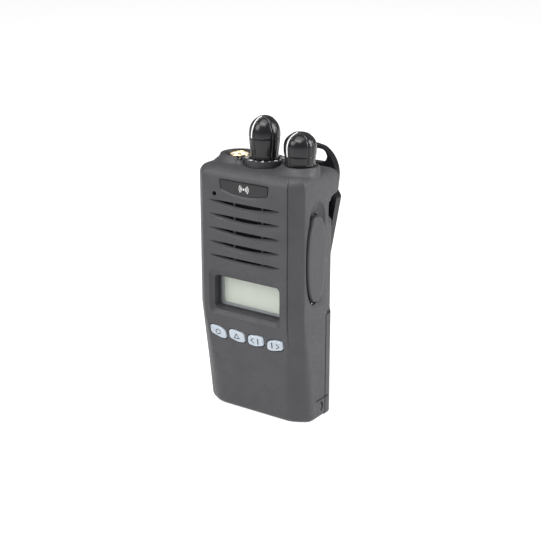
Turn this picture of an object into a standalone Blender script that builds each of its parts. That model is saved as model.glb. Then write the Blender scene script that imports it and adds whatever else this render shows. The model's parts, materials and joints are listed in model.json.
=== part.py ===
"""Handheld two-way radio with a belt clip, built as separate solids.

Metres, +Z up. X runs to the right as seen from the front, Y runs from the front to the back.
The origin is at the centre of the bounding box in plan, on the surface that the radio stands on.
"""
import math

import bmesh
import bpy
from mathutils import Matrix, Vector

# ---------------------------------------------------------------- driving dimensions
GAP = 0.0003                     # clearance between neighbouring pieces
TOTAL_DEPTH = 0.0584             # front face to the rearmost point of the belt clip
FRONT = -TOTAL_DEPTH / 2         # Y of the front face

HALF_WIDTH = 0.029               # body, at the sides
PANEL_HALF_WIDTH = 0.023         # flat front panel, upper part
PANEL_TAPER = 0.0024             # how much narrower the panel is at the base
BODY_DEPTH = 0.0259              # front face to the rear edge of the case
HEAD_DEPTH = 0.0344              # front face to the rear of the overhanging head
CHAMFER = 0.006                  # corner between the front panel and the side
CHAMFER_GROWTH = 0.0068          # how much further back the side starts at the base
BEND = 0.052                     # height where the front starts to slope back
BEND_BLEND = 0.006               # half height of the blend at the bend
BASE_SETBACK = 0.0077            # how far the front is set back at the base
SHOULDER = 0.1145                # height where the top edges start to round over
SHOULDER_RADIUS = 0.005
WALL = 0.0019                    # case wall

WING_TOP = 0.0513                # top of the battery's side wings
WING_DEPTH = 0.0244              # where the case stops beside the wings
HEAD_UNDERSIDE = 0.1074

SLOT_COUNT = 5
SLOT_TOP = 0.1046
SLOT_PITCH = 0.00653
SLOT_HALF = 0.0152
SLOT_END_HEIGHT = 0.0006
SLOT_SAG = 0.0024

SPEAKER_Z = 0.091
MICROPHONE = (-0.0163, 0.1075)   # X and height

DISPLAY_Z = (0.0488, 0.0715)
DISPLAY_HALF = 0.020

KEY_Z = 0.0402
KEY_PITCH = 0.01066
KEY_GAP = 0.0003

SELECTOR_AXIS = (0.0, 0.0166)    # X and depth
VOLUME_AXIS = (0.019, 0.0168)
ANTENNA_AXIS = (-0.0155, 0.0188)
STATUS_SPOT = (-0.0102, 0.0117)  # small indicator light between the antenna and the selector
RING_TOP = 0.123
SHAFT_RADIUS = 0.003

CAP_DEPTH = 0.0150               # accessory cap centre, depth from the front face
CAP_Z = 0.0806
CAP_HALF = (0.0072, 0.0202)
CAP_OUTER = 0.030

PIVOT = (0.0465, 0.100)          # belt clip pivot: depth and height
CLIP_HALF_WIDTH = 0.018
PIN_RADIUS = 0.0012

BATTERY_TOP = 0.0957
BATTERY_DEPTH = 0.037


# ---------------------------------------------------------------- scene and materials
for old in list(bpy.data.objects):
    bpy.data.objects.remove(old)

PARTS = bpy.data.collections.new("two_way_radio")
CUTTERS = bpy.data.collections.new("cutters")
bpy.context.scene.collection.children.link(PARTS)
bpy.context.scene.collection.children.link(CUTTERS)


def make_material(name, colour, roughness, metallic=0.0):
    material = bpy.data.materials.new(name)
    material.use_nodes = True
    shader = material.node_tree.nodes["Principled BSDF"]
    shader.inputs["Base Color"].default_value = (*colour, 1.0)
    shader.inputs["Roughness"].default_value = roughness
    shader.inputs["Metallic"].default_value = metallic
    material.diffuse_color = (*colour, 1.0)
    return material


HOUSING = make_material("housing_plastic", (0.085, 0.085, 0.092), 0.6)
CAP_PLASTIC = make_material("cap_plastic", (0.115, 0.117, 0.120), 0.55)
KNOB_PLASTIC = make_material("knob_plastic", (0.018, 0.018, 0.020), 0.25)
RUBBER = make_material("black_rubber", (0.030, 0.030, 0.032), 0.8)
KEY_PLASTIC = make_material("key_plastic", (0.62, 0.66, 0.72), 0.35)
GLASS = make_material("display_glass", (0.55, 0.60, 0.53), 0.08)
PANEL_GLASS = make_material("display_panel", (0.50, 0.56, 0.48), 0.3)
DIE_CAST = make_material("die_cast_metal", (0.55, 0.55, 0.56), 0.45, 1.0)
STEEL = make_material("plated_steel", (0.62, 0.62, 0.64), 0.3, 1.0)
GOLD = make_material("gold_plating", (0.83, 0.62, 0.28), 0.25, 1.0)
CREAM = make_material("cream_insulator", (0.82, 0.80, 0.72), 0.4)
BOARD = make_material("circuit_board", (0.03, 0.16, 0.07), 0.5)
CLOTH = make_material("speaker_felt", (0.012, 0.012, 0.013), 0.95)
CONE = make_material("speaker_cone", (0.10, 0.09, 0.08), 0.8)
CELL = make_material("cell_wrap", (0.10, 0.22, 0.42), 0.4)


# ---------------------------------------------------------------- modelling helpers
def at(x, depth, z):
    """A point given by its depth behind the front face."""
    return Vector((x, FRONT + depth, z))


def add_object(name, mesh, material=None, cutter=False):
    piece = bpy.data.objects.new(name, mesh)
    (CUTTERS if cutter else PARTS).objects.link(piece)
    if material:
        mesh.materials.append(material)
    if cutter:
        piece.hide_render = True
        piece.display_type = "WIRE"
    return piece


def mesh_from(bm, name):
    bmesh.ops.recalc_face_normals(bm, faces=bm.faces)
    mesh = bpy.data.meshes.new(name)
    bm.to_mesh(mesh)
    bm.free()
    return mesh


def box(name, low, high, material=None, cutter=False, bevel=0.0):
    """A block between two corners given as x, depth, z."""
    size = Vector(high) - Vector(low)
    bm = bmesh.new()
    bmesh.ops.create_cube(bm, size=1.0)
    bmesh.ops.scale(bm, vec=size, verts=bm.verts)
    piece = add_object(name, mesh_from(bm, name), material, cutter)
    middle = (Vector(low) + Vector(high)) / 2
    piece.location = at(*middle)
    if bevel:
        soften = piece.modifiers.new("edges", "BEVEL")
        soften.width = bevel
        soften.segments = 2
        soften.limit_method = "ANGLE"
    return piece


TURNS = {"Z": Matrix(), "Y": Matrix.Rotation(math.pi / 2, 4, "X"), "X": Matrix.Rotation(math.pi / 2, 4, "Y")}


def cylinder(name, centre, radius, length, axis="Z", material=None, cutter=False, sides=24, top=None):
    """A cylinder, or a cone with another radius at its far end, centred on a point."""
    bm = bmesh.new()
    bmesh.ops.create_cone(bm, cap_ends=True, segments=sides, radius1=radius,
                          radius2=radius if top is None else top, depth=length)
    piece = add_object(name, mesh_from(bm, name), material, cutter)
    piece.matrix_world = Matrix.Translation(at(*centre)) @ TURNS[axis]
    piece.data.shade_smooth()
    piece.data.set_sharp_from_angle(angle=math.radians(35))
    return piece


def turned(name, centre, profile, material=None, axis="Z", sides=32, cutter=False):
    """A turned solid: (radius, height) points down its outer side, then back up its bore."""
    bm = bmesh.new()
    points = [bm.verts.new((radius, 0.0, height)) for radius, height in profile]
    for first, second in zip(points, points[1:]):
        bm.edges.new((first, second))
    if profile[0][0] > 0.0:
        bm.edges.new((points[-1], points[0]))
    mesh = bpy.data.meshes.new(name)
    bm.to_mesh(mesh)
    bm.free()
    piece = add_object(name, mesh, material, cutter)
    piece.matrix_world = Matrix.Translation(at(*centre)) @ TURNS[axis]
    spin = piece.modifiers.new("turning", "SCREW")
    spin.steps = spin.render_steps = sides
    spin.use_merge_vertices = True
    spin.merge_threshold = 0.00001
    spin.use_smooth_shade = True
    return piece


def fillet(corners, steps=3):
    """Outline points from (x, y, radius) corners, each rounded with an arc."""
    outline = []
    count = len(corners)
    for index, (x, y, radius) in enumerate(corners):
        here = Vector((x, y))
        if radius <= 0.0:
            outline.append(here)
            continue
        before = (Vector(corners[index - 1][:2]) - here).normalized()
        after = (Vector(corners[(index + 1) % count][:2]) - here).normalized()
        half_angle = before.angle(after) / 2
        centre = here + (before + after).normalized() * (radius / math.sin(half_angle))
        reach = radius / math.tan(half_angle)
        start = here + before * reach - centre
        end = here + after * reach - centre
        sweep = start.angle_signed(end)
        for step in range(steps + 1):
            turn = Matrix.Rotation(-sweep * step / steps, 2)
            outline.append(centre + turn @ start)
    return outline


PLANES = {
    "XZ": Matrix(((1, 0, 0, 0), (0, 0, -1, 0), (0, 1, 0, 0), (0, 0, 0, 1))),
    "YZ": Matrix(((0, 0, 1, 0), (1, 0, 0, 0), (0, 1, 0, 0), (0, 0, 0, 1))),
    "XY": Matrix(),
}


def flat_shape(name, outline, thickness, centre, plane="XZ", material=None, cutter=False):
    """A flat outline given thickness, with its middle plane through the centre point."""
    curve = bpy.data.curves.new(name, "CURVE")
    curve.dimensions = "2D"
    curve.fill_mode = "BOTH"
    curve.extrude = thickness / 2
    spline = curve.splines.new("POLY")
    spline.points.add(len(outline) - 1)
    for point, place in zip(spline.points, outline):
        point.co = (place[0], place[1], 0.0, 1.0)
    spline.use_cyclic_u = True
    guide = bpy.data.objects.new(name + "_outline", curve)
    CUTTERS.objects.link(guide)
    mesh = solid_mesh(guide, name)
    piece = add_object(name, mesh, material, cutter)
    piece.matrix_world = Matrix.Translation(at(*centre)) @ PLANES[plane]
    return piece


def solid_mesh(guide, name):
    """The welded mesh of a curve or of an object with modifiers, which is then removed."""
    bpy.context.view_layer.update()
    shaped = guide.evaluated_get(bpy.context.evaluated_depsgraph_get())
    mesh = bpy.data.meshes.new_from_object(shaped)
    mesh.name = name
    bm = bmesh.new()
    bm.from_mesh(mesh)
    bmesh.ops.remove_doubles(bm, verts=bm.verts, dist=0.00001)
    bmesh.ops.recalc_face_normals(bm, faces=bm.faces)
    bm.to_mesh(mesh)
    bm.free()
    bpy.data.objects.remove(guide)
    return mesh


def loft(name, rings, material=None, cutter=False):
    """A closed solid through rings of points, all with the same count."""
    bm = bmesh.new()
    loops = []
    for ring in rings:
        points = [bm.verts.new(point) for point in ring]
        loops.append([bm.edges.new((points[i - 1], points[i])) for i in range(len(points))])
    for lower, upper in zip(loops, loops[1:]):
        bmesh.ops.bridge_loops(bm, edges=lower + upper)
    for end in (loops[0], loops[-1]):
        bmesh.ops.contextual_create(bm, geom=end)
    return add_object(name, mesh_from(bm, name), material, cutter)


def combine(piece, other, operation="DIFFERENCE"):
    """Cut or join a helper solid with a piece."""
    step = piece.modifiers.new(other.name, "BOOLEAN")
    step.operation = operation
    step.solver = "EXACT"
    step.object = other


def move_origin(piece, point):
    """Put a moving piece's origin on its joint's axis."""
    target = at(*point)
    bpy.context.view_layer.update()
    offset = piece.matrix_world.inverted() @ target
    piece.data.transform(Matrix.Translation(-offset))
    piece.location = target


# ---------------------------------------------------------------- outer form of the body
def front_setback(z):
    """How far the front face stands back at a height."""
    slope = BASE_SETBACK / BEND
    above = z - BEND
    if above >= BEND_BLEND:
        return 0.0
    if above <= -BEND_BLEND:
        return -slope * above
    return slope * (BEND_BLEND - above) ** 2 / (4 * BEND_BLEND)


def body_section(z, rear, inset=0.0):
    """Outline of the body at a height, moved inwards by an inset."""
    low = max(0.0, (BEND - z) / BEND)
    front = front_setback(z)
    panel = PANEL_HALF_WIDTH - PANEL_TAPER * low
    side = CHAMFER + CHAMFER_GROWTH * low
    corner = 0.414 * inset
    right = [(panel - corner, front + inset), (HALF_WIDTH - inset, side + corner),
             (HALF_WIDTH - inset, rear - 0.0012 - inset), (HALF_WIDTH - 0.0012 - inset, rear - inset)]
    left = [(-x, depth) for x, depth in reversed(right)]
    return [at(x, depth, z) for x, depth in right + left]


def shoulder_rings(inset, rear):
    """Rings over the rounded shoulder and the gently domed top."""
    rings = []
    for degrees in (0, 30, 55, 75, 90):
        angle = math.radians(degrees)
        rings.append((SHOULDER + (SHOULDER_RADIUS - inset) * math.sin(angle), rear,
                      inset + (SHOULDER_RADIUS - inset) * (1 - math.cos(angle))))
    rings.append((SHOULDER + SHOULDER_RADIUS - inset + 0.0006, rear, 0.0085))
    return rings


def body_form(name, inset=0.0, material=None, cutter=False):
    levels = [(0.0, BODY_DEPTH, 0.0007), (0.0007, BODY_DEPTH, 0.0)]
    levels += [(z, BODY_DEPTH, 0.0) for z in (0.020, 0.040, 0.046, 0.049, 0.052, 0.055, 0.058, 0.0805, 0.1030)]
    levels += [(0.1050, 0.0264, 0.0), (0.1064, 0.0278, 0.0), (HEAD_UNDERSIDE, 0.0300, 0.0),
               (0.1080, 0.0330, 0.0), (0.1092, 0.0341, 0.0), (0.1110, HEAD_DEPTH, 0.0)]
    levels += shoulder_rings(0.0, HEAD_DEPTH)
    return loft(name, [body_section(*level) for level in levels], material, cutter)


def build_front_case():
    case = body_form("front_case", material=HOUSING)
    # hollow of the body, open to the rear, and the smaller hollow inside the head
    heights = (WALL, 0.020, 0.040, 0.046, 0.052, 0.058, 0.1055)
    combine(case, loft("body_hollow", [body_section(z, 0.040, WALL) for z in heights], cutter=True))
    head = [(0.0950, HEAD_DEPTH, WALL)] + shoulder_rings(WALL, HEAD_DEPTH)[:-1]
    combine(case, loft("head_hollow", [body_section(*level) for level in head], cutter=True))
    # the case stops short beside the battery's wings
    combine(case, box("wing_space", (-0.040, WING_DEPTH, -0.010), (0.040, 0.050, WING_TOP), cutter=True))
    # thick places: behind the display, behind the accessory cap, over the latch
    combine(case, box("display_boss", (-0.0218, 0.0012, 0.0472), (0.0218, 0.0062, 0.0728), cutter=True), "UNION")
    combine(case, box("cap_boss", (0.0247, 0.0062, 0.0560), (0.0282, 0.0228, 0.1085), cutter=True), "UNION")
    combine(case, box("latch_boss", (-0.0125, 0.0085, 0.0012), (0.0125, 0.0225, 0.0042), cutter=True), "UNION")
    combine(case, cylinder("volume_boss", (*VOLUME_AXIS, 0.1204), 0.0098, 0.0040, cutter=True, top=0.0083,
                           sides=36), "UNION")
    cut_speaker_slots(case)
    cut_display_opening(case)
    cut_key_holes(case)
    cut_side_openings(case)
    cut_top_openings(case)
    combine(case, cylinder("microphone_hole", (MICROPHONE[0], 0.001, MICROPHONE[1]), 0.0010, 0.004, "Y",
                           cutter=True, sides=12))
    combine(case, flat_shape("badge_recess", badge_outline(GAP), 0.0016, (0, 0, 0), cutter=True))
    combine(case, box("latch_pocket", (-0.0100, 0.0105, -0.001), (0.0100, 0.030, 0.0024), cutter=True))
    return case


def slot_outline(half, sag, end_height):
    """A straight top edge over a sagging arc."""
    steps = 10
    lower = []
    for step in range(steps + 1):
        x = -half + 2 * half * step / steps
        lower.append((x, -end_height - sag * (1 - (x / half) ** 2)))
    return lower + [(half, 0.0), (-half, 0.0)]


def cut_speaker_slots(case):
    for index in range(SLOT_COUNT):
        top = SLOT_TOP - index * SLOT_PITCH
        sag = SLOT_SAG if index < SLOT_COUNT - 1 else SLOT_SAG * 0.75
        opening = flat_shape(f"slot_{index + 1}", slot_outline(SLOT_HALF, sag - SLOT_END_HEIGHT, SLOT_END_HEIGHT),
                             0.008, (0, 0, top), cutter=True)
        combine(case, opening)


def rounded_rectangle(half, low, high, radius, depth):
    corners = [(-half, low, radius), (half, low, radius), (half, high, radius), (-half, high, radius)]
    return [at(x, depth, z) for x, z in fillet(corners)]


def cut_display_opening(case):
    low, high = DISPLAY_Z
    bevel = [rounded_rectangle(DISPLAY_HALF + 0.0008, low - 0.0012, high + 0.0016, 0.0034, -0.0009),
             rounded_rectangle(DISPLAY_HALF - 0.0015, low + 0.0023, high - 0.0032, 0.0026, 0.0018),
             rounded_rectangle(0.0175, 0.0525, 0.0675, 0.0016, 0.0072)]
    combine(case, loft("display_opening", bevel, cutter=True))


def key_outline(index, grow=0.0):
    """Outline of a key: the two left keys mirror the two right ones."""
    outer = index in (0, 3)
    side = 1 if index >= 2 else -1
    top_in, low_out = (0.0026, 0.0028) if outer else (0.0022, 0.0022)
    corners = [(-0.0047, -0.0026, 0.0013), (-0.0008, -0.0031, 0.0030), (0.0046, -0.0016, low_out / 2),
               (0.0047, 0.0027, 0.0014), (0.0, 0.0030, 0.0040), (-0.0045, 0.0018, top_in / 2)]
    spread = [(x + math.copysign(grow, x), z + math.copysign(grow, z), radius + grow)
              for x, z, radius in corners]
    outline = fillet([(side * x, z, radius) for x, z, radius in spread], steps=2)
    return outline


KEY_LEAN = math.atan(BASE_SETBACK / BEND)


def key_place(index, depth_along):
    """World placement of a key's middle plane, at a distance in from the sloping face."""
    x = (index - 1.5) * KEY_PITCH
    face = front_setback(KEY_Z)
    inward = Vector((0.0, math.cos(KEY_LEAN), math.sin(KEY_LEAN)))
    spot = at(x, face, KEY_Z) + inward * depth_along
    return Matrix.Translation(spot) @ Matrix.Rotation(KEY_LEAN, 4, "X") @ PLANES["XZ"]


def cut_key_holes(case):
    for index in range(4):
        hole = flat_shape(f"key_hole_{index + 1}", key_outline(index, KEY_GAP), 0.008, (0, 0, 0), cutter=True)
        hole.matrix_world = key_place(index, 0.0)
        combine(case, hole)


def oval(half_width, half_height, sides=28, power=2.4):
    """A long oval, a little squarer than an ellipse."""
    points = []
    for step in range(sides):
        angle = 2 * math.pi * step / sides
        cosine, sine = math.cos(angle), math.sin(angle)
        points.append((half_width * math.copysign(abs(cosine) ** (2 / power), cosine),
                       half_height * math.copysign(abs(sine) ** (2 / power), sine)))
    return points


PTT = {"z": (0.0715, 0.1000), "depth": (0.0095, 0.0205)}
SIDE_KEYS = {"side_key_upper": (0.0575, 0.0675), "side_key_lower": (0.0455, 0.0555)}


def cut_side_openings(case):
    depth, height = CAP_HALF
    pocket = flat_shape("cap_pocket", oval(depth + 0.0006, height + 0.0014), 0.008,
                        (HALF_WIDTH + 0.0013, CAP_DEPTH - 0.0003, CAP_Z - 0.0003), "YZ", cutter=True)
    combine(case, pocket)
    # scooped finger relief above the cap
    bm = bmesh.new()
    bmesh.ops.create_uvsphere(bm, u_segments=20, v_segments=12, radius=1.0)
    scoop = add_object("cap_scoop", mesh_from(bm, "cap_scoop"), cutter=True)
    scoop.matrix_world = Matrix.Translation(at(HALF_WIDTH + 0.0026, CAP_DEPTH + 0.0010, 0.0985)) @ Matrix.Diagonal(
        (0.0049, 0.0078, 0.0105, 1.0))
    combine(case, scoop)
    low, high = PTT["z"]
    near, far = PTT["depth"]
    combine(case, box("ptt_opening", (-0.032, near - GAP, low - GAP), (-0.020, far + GAP, high + GAP), cutter=True))
    for name, (low, high) in SIDE_KEYS.items():
        combine(case, box(name + "_opening", (-0.032, 0.0115 - GAP, low - GAP),
                          (-0.020, 0.0195 + GAP, high + GAP), cutter=True))


def cut_top_openings(case):
    combine(case, cylinder("ring_seat", (*SELECTOR_AXIS, 0.1224), 0.0096, 0.006, cutter=True, sides=36))
    combine(case, cylinder("selector_hole", (*SELECTOR_AXIS, 0.118), 0.0046, 0.010, cutter=True))
    combine(case, cylinder("volume_hole", (*VOLUME_AXIS, 0.120), 0.0046, 0.012, cutter=True))
    combine(case, cylinder("antenna_hole", (*ANTENNA_AXIS, 0.118), 0.0088, 0.010, cutter=True, sides=36))
    combine(case, cylinder("status_boss", (*STATUS_SPOT, 0.1200), 0.0017, 0.0034, cutter=True, sides=16), "UNION")
    combine(case, cylinder("status_hole", (*STATUS_SPOT, 0.119), 0.0012, 0.008, cutter=True, sides=16))


def badge_outline(grow=0.0):
    """The blank name badge: straight top, sides that draw in, sagging bottom edge."""
    half_top, half_low = 0.0130 + grow, 0.0122 + grow
    top, low, sag = 0.1144 + grow, 0.1104 - grow, 0.0018
    steps = 8
    bottom = []
    for step in range(steps + 1):
        x = -half_low + 2 * half_low * step / steps
        bottom.append((x, low - sag * (1 - (x / half_low) ** 2)))
    return bottom + [(half_top, top - 0.0008), (half_top - 0.0008, top), (-half_top + 0.0008, top),
                     (-half_top, top - 0.0008)]


# ---------------------------------------------------------------- front of the radio
def build_front_pieces():
    flat_shape("name_badge", badge_outline(), 0.0004, (0, 0.0005, 0), material=HOUSING)
    box("display_window", (-0.0168, 0.0052, 0.0530), (0.0168, 0.0061, 0.0668), GLASS)
    box("display_panel", (-0.0195, 0.0066, 0.0505), (0.0195, 0.0078, 0.0695), PANEL_GLASS)
    box("backlight", (-0.0200, 0.0081, 0.0500), (0.0200, 0.0097, 0.0700), CREAM)
    felt = fillet([(-0.0175, -0.0155, 0), (0.0175, -0.0155, 0), (0.0175, 0.0095, 0), (0.0125, 0.0145, 0),
                   (-0.0125, 0.0145, 0), (-0.0175, 0.0095, 0)])
    flat_shape("speaker_felt", felt, 0.0005, (0, 0.0026, SPEAKER_Z), material=CLOTH)
    for index in range(4):
        key = flat_shape(f"key_{index + 1}", key_outline(index), 0.0034, (0, 0, 0), material=KEY_PLASTIC)
        key.matrix_world = key_place(index, 0.0011)
        edges = key.modifiers.new("crown", "BEVEL")
        edges.width = 0.00045
        edges.segments = 2
        edges.limit_method = "ANGLE"
        edges.angle_limit = math.radians(50)
    key_mat = box("key_mat", (-0.0215, -0.0005, -0.0055), (0.0215, 0.0005, 0.0055), RUBBER)
    key_mat.matrix_world = (Matrix.Translation(at(0, front_setback(KEY_Z) + 0.0047, KEY_Z + 0.0004))
                            @ Matrix.Rotation(KEY_LEAN, 4, "X"))
    box("control_board", (-0.0225, 0.0102, 0.0220), (0.0225, 0.0114, 0.0715), BOARD)


def build_speaker():
    centre = (0, 0.0075, SPEAKER_Z)
    rim, depth = 0.0172, 0.0042
    profile = [(rim, depth), (rim, depth - 0.0016), (0.0125, -0.0010), (0.0088, -0.0022), (0.0045, -0.0022),
               (0.0045, -0.0012), (0.0084, -0.0012), (0.0118, 0.0004), (0.0152, depth - 0.0008), (0.0152, depth)]
    turned("speaker_frame", centre, profile, STEEL, "Y", sides=28)
    cone = [(0.0, 0.0015), (0.0056, 0.0015), (0.0142, depth - 0.0002), (0.0148, depth - 0.0002),
            (0.0148, depth - 0.0007), (0.0060, 0.0010), (0.0, 0.0010)]
    turned("speaker_cone", centre, cone, CONE, "Y", sides=28)
    cylinder("speaker_magnet", (0, 0.0115, SPEAKER_Z), 0.0082, 0.0030, "Y", STEEL)
    capsule = (MICROPHONE[0], 0.0055, MICROPHONE[1])
    cylinder("microphone", capsule, 0.0027, 0.0040, "Y", STEEL, sides=18)
    turned("microphone_boot", capsule,
           [(0.0038, 0.0026), (0.0038, -0.0020), (0.0030, -0.0020), (0.0030, 0.0026)], RUBBER, "Y", sides=18)


# ---------------------------------------------------------------- knobs and top fittings
def knob_profile(base, top, skirt, widest, bore):
    """Bullet-shaped knob: narrow skirt, widest part two thirds up, domed crown, blind bore."""
    height = top - base
    waist = base + 0.52 * height
    outer = [(0.0, top), (0.30 * widest, top - 0.02 * height), (0.60 * widest, top - 0.10 * height),
             (0.84 * widest, top - 0.25 * height), (0.97 * widest, top - 0.40 * height), (widest, waist),
             (0.985 * widest, base + 0.30 * height), (skirt, base + 0.04 * height),
             (skirt - 0.0003, base)]
    return outer + [(bore, base), (bore, top - 0.0035), (0.0, top - 0.0035)]


def build_knob(name, axis, base, top, skirt, widest):
    knob = turned(name, (*axis, 0.0), knob_profile(base, top, skirt, widest, SHAFT_RADIUS + GAP), KNOB_PLASTIC,
                  sides=36)
    # six finger flutes round the knob
    for flute in range(6):
        angle = math.radians(60 * flute + 30)
        reach = widest + 0.0001
        groove = cylinder(f"{name}_flute_{flute + 1}",
                          (axis[0] + reach * math.cos(angle), axis[1] + reach * math.sin(angle),
                           base + 0.62 * (top - base)),
                          0.0008, 0.76 * (top - base), cutter=True, sides=8)
        combine(knob, groove)
    return knob


def build_control(prefix, axis, shaft_top, body_half):
    """Rotary control under the top wall: body, nut on the outside, and the shaft that turns."""
    x, depth = axis
    box(prefix + "_body", (x - body_half, depth - body_half, 0.1040), (x + body_half, depth + body_half, 0.1140),
        BOARD)
    turned(prefix + "_bush", (*axis, 0.0), [(0.0043, 0.1212), (0.0043, 0.1143), (0.0034, 0.1143), (0.0034, 0.1212)],
           STEEL, sides=24)
    cylinder(prefix + "_shaft", (*axis, (0.1145 + shaft_top) / 2), SHAFT_RADIUS, shaft_top - 0.1145,
             material=STEEL, sides=20)


def build_top_fittings():
    build_knob("selector_knob", SELECTOR_AXIS, 0.1234, 0.1424, 0.0066, 0.0074)
    build_knob("volume_knob", VOLUME_AXIS, 0.1228, 0.1372, 0.0071, 0.0076)
    build_control("selector", SELECTOR_AXIS, 0.1385, 0.0063)
    build_control("volume", VOLUME_AXIS, 0.1333, 0.0056)
    turned("number_ring", (*SELECTOR_AXIS, 0.0),
           [(0.0088, RING_TOP), (0.0093, RING_TOP - 0.0004), (0.0093, 0.1197), (0.0050, 0.1197),
            (0.0050, 0.1222), (0.0068, RING_TOP)], KNOB_PLASTIC, sides=40)
    rim = turned("antenna_rim", (*ANTENNA_AXIS, 0.0),
                 [(0.0077, 0.1230), (0.0085, 0.1222), (0.0085, 0.1165), (0.0056, 0.1165), (0.0056, 0.1182),
                  (0.0070, 0.1212), (0.0072, 0.1230)], HOUSING, sides=40)
    combine(rim, cylinder("rim_ring_room", (*SELECTOR_AXIS, 0.120), 0.0096, 0.010, cutter=True, sides=36))
    combine(rim, cylinder("rim_status_room", (*STATUS_SPOT, 0.120), 0.0020, 0.010, cutter=True, sides=16))
    turned("antenna_socket", (*ANTENNA_AXIS, 0.0),
           [(0.0044, 0.1226), (0.0047, 0.1223), (0.0047, 0.1187), (0.0052, 0.1185), (0.0052, 0.1145),
            (0.0033, 0.1145), (0.0033, 0.1226)], GOLD, sides=32)
    turned("antenna_insulator", (*ANTENNA_AXIS, 0.0),
           [(0.0030, 0.1222), (0.0030, 0.1150), (0.0009, 0.1150), (0.0009, 0.1222)], CREAM, sides=24)
    cylinder("antenna_contact", (*ANTENNA_AXIS, 0.1185), 0.0006, 0.0080, material=GOLD, sides=12)
    turned("status_lens", (*STATUS_SPOT, 0.0),
           [(0.0, 0.1224), (0.0006, 0.1221), (0.0009, 0.1215), (0.0009, 0.1170), (0.0, 0.1170)], GLASS, sides=16)


# ---------------------------------------------------------------- sides of the radio
def build_side_pieces():
    low, high = PTT["z"]
    near, far = PTT["depth"]
    ptt = box("ptt_button", (-CAP_OUTER, near, low), (-0.0262, far, high), RUBBER, bevel=0.0006)
    combine(ptt, box("ptt_flange", (-0.0268, near - 0.0012, low - 0.0012), (-0.0258, far + 0.0012, high + 0.0012),
                     cutter=True), "UNION")
    for name, (low, high) in SIDE_KEYS.items():
        key = box(name, (-0.0296, 0.0115, low), (-0.0262, 0.0195, high), RUBBER, bevel=0.0005)
        combine(key, box(name + "_flange", (-0.0268, 0.0107, low - 0.0007), (-0.0258, 0.0203, high + 0.0007),
                         cutter=True), "UNION")
    depth, height = CAP_HALF
    rings = []
    for x, shrink in ((0.0274, 0.0), (0.0291, 0.0), (0.0297, 0.0009), (CAP_OUTER, 0.0028)):
        rings.append([at(x, CAP_DEPTH + dy, CAP_Z + dz)
                      for dy, dz in oval(depth - shrink, height - shrink)])
    loft("accessory_cap", rings, CAP_PLASTIC)
    flat_shape("accessory_contacts", oval(0.0050, 0.0140, 20), 0.0008, (0.0267, CAP_DEPTH, CAP_Z), "YZ",
               material=GOLD)
    cylinder("cap_catch", (0.0273, CAP_DEPTH - 0.0012, CAP_Z - 0.0211), 0.0004, 0.0014, "X", STEEL, sides=10)


# ---------------------------------------------------------------- inside the body
def build_inside():
    wall_x, wall_low, wall_high = 0.0243, 0.0044, 0.1033
    tray = box("rear_chassis", (-0.0268, 0.0160, 0.0026), (0.0268, BODY_DEPTH, 0.1050), DIE_CAST)
    combine(tray, box("tray_hollow", (-0.0231, 0.0100, 0.0058), (0.0231, 0.0242, 0.1019), cutter=True))
    combine(tray, box("tray_step_left", (-0.0300, 0.0100, 0.0), (-wall_x, 0.0242, 0.110), cutter=True))
    combine(tray, box("tray_step_right", (wall_x, 0.0100, 0.0), (0.0300, 0.0242, 0.110), cutter=True))
    combine(tray, box("tray_step_low", (-0.0300, 0.0100, 0.0), (0.0300, 0.0242, wall_low), cutter=True))
    combine(tray, box("tray_step_high", (-0.0300, 0.0100, wall_high), (0.0300, 0.0242, 0.110), cutter=True))
    combine(tray, box("terminal_opening", (-0.0083, 0.0200, 0.0097), (0.0083, 0.030, 0.0183), cutter=True))
    seal = box("chassis_seal", (-0.0266, 0.0231, 0.0029), (0.0266, 0.0239, 0.1047), RUBBER)
    combine(seal, box("seal_middle", (-wall_x - GAP, 0.0100, wall_low - GAP),
                      (wall_x + GAP, 0.0300, wall_high + GAP), cutter=True))
    box("terminal_block", (-0.0080, 0.0216, 0.0100), (0.0080, 0.0258, 0.0180), RUBBER)
    box("main_board", (-0.0225, 0.0205, 0.0200), (0.0225, 0.0217, 0.1010), BOARD)
    shield = box("shield_can", (-0.0205, 0.0150, 0.0260), (0.0205, 0.0201, 0.0960), STEEL)
    combine(shield, box("shield_hollow", (-0.0201, 0.0154, 0.0264), (0.0201, 0.0300, 0.0956), cutter=True))


# ---------------------------------------------------------------- battery and its latch
def battery_section(z, inset=0.0, back_only=False):
    wing = 0.0 if z > WING_TOP - 0.0005 else HALF_WIDTH - 0.0270
    side = 0.0270 + wing - inset
    front = 0.0278 if back_only else 0.0247
    right = [(side, front), (side, 0.0282), (0.0268 - inset, 0.0310), (0.0242 - inset, 0.0354 - inset),
             (0.0205 - inset, BATTERY_DEPTH - inset)]
    left = [(-x, depth) for x, depth in reversed(right)]
    return [at(x, depth, z) for x, depth in right + left]


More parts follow.
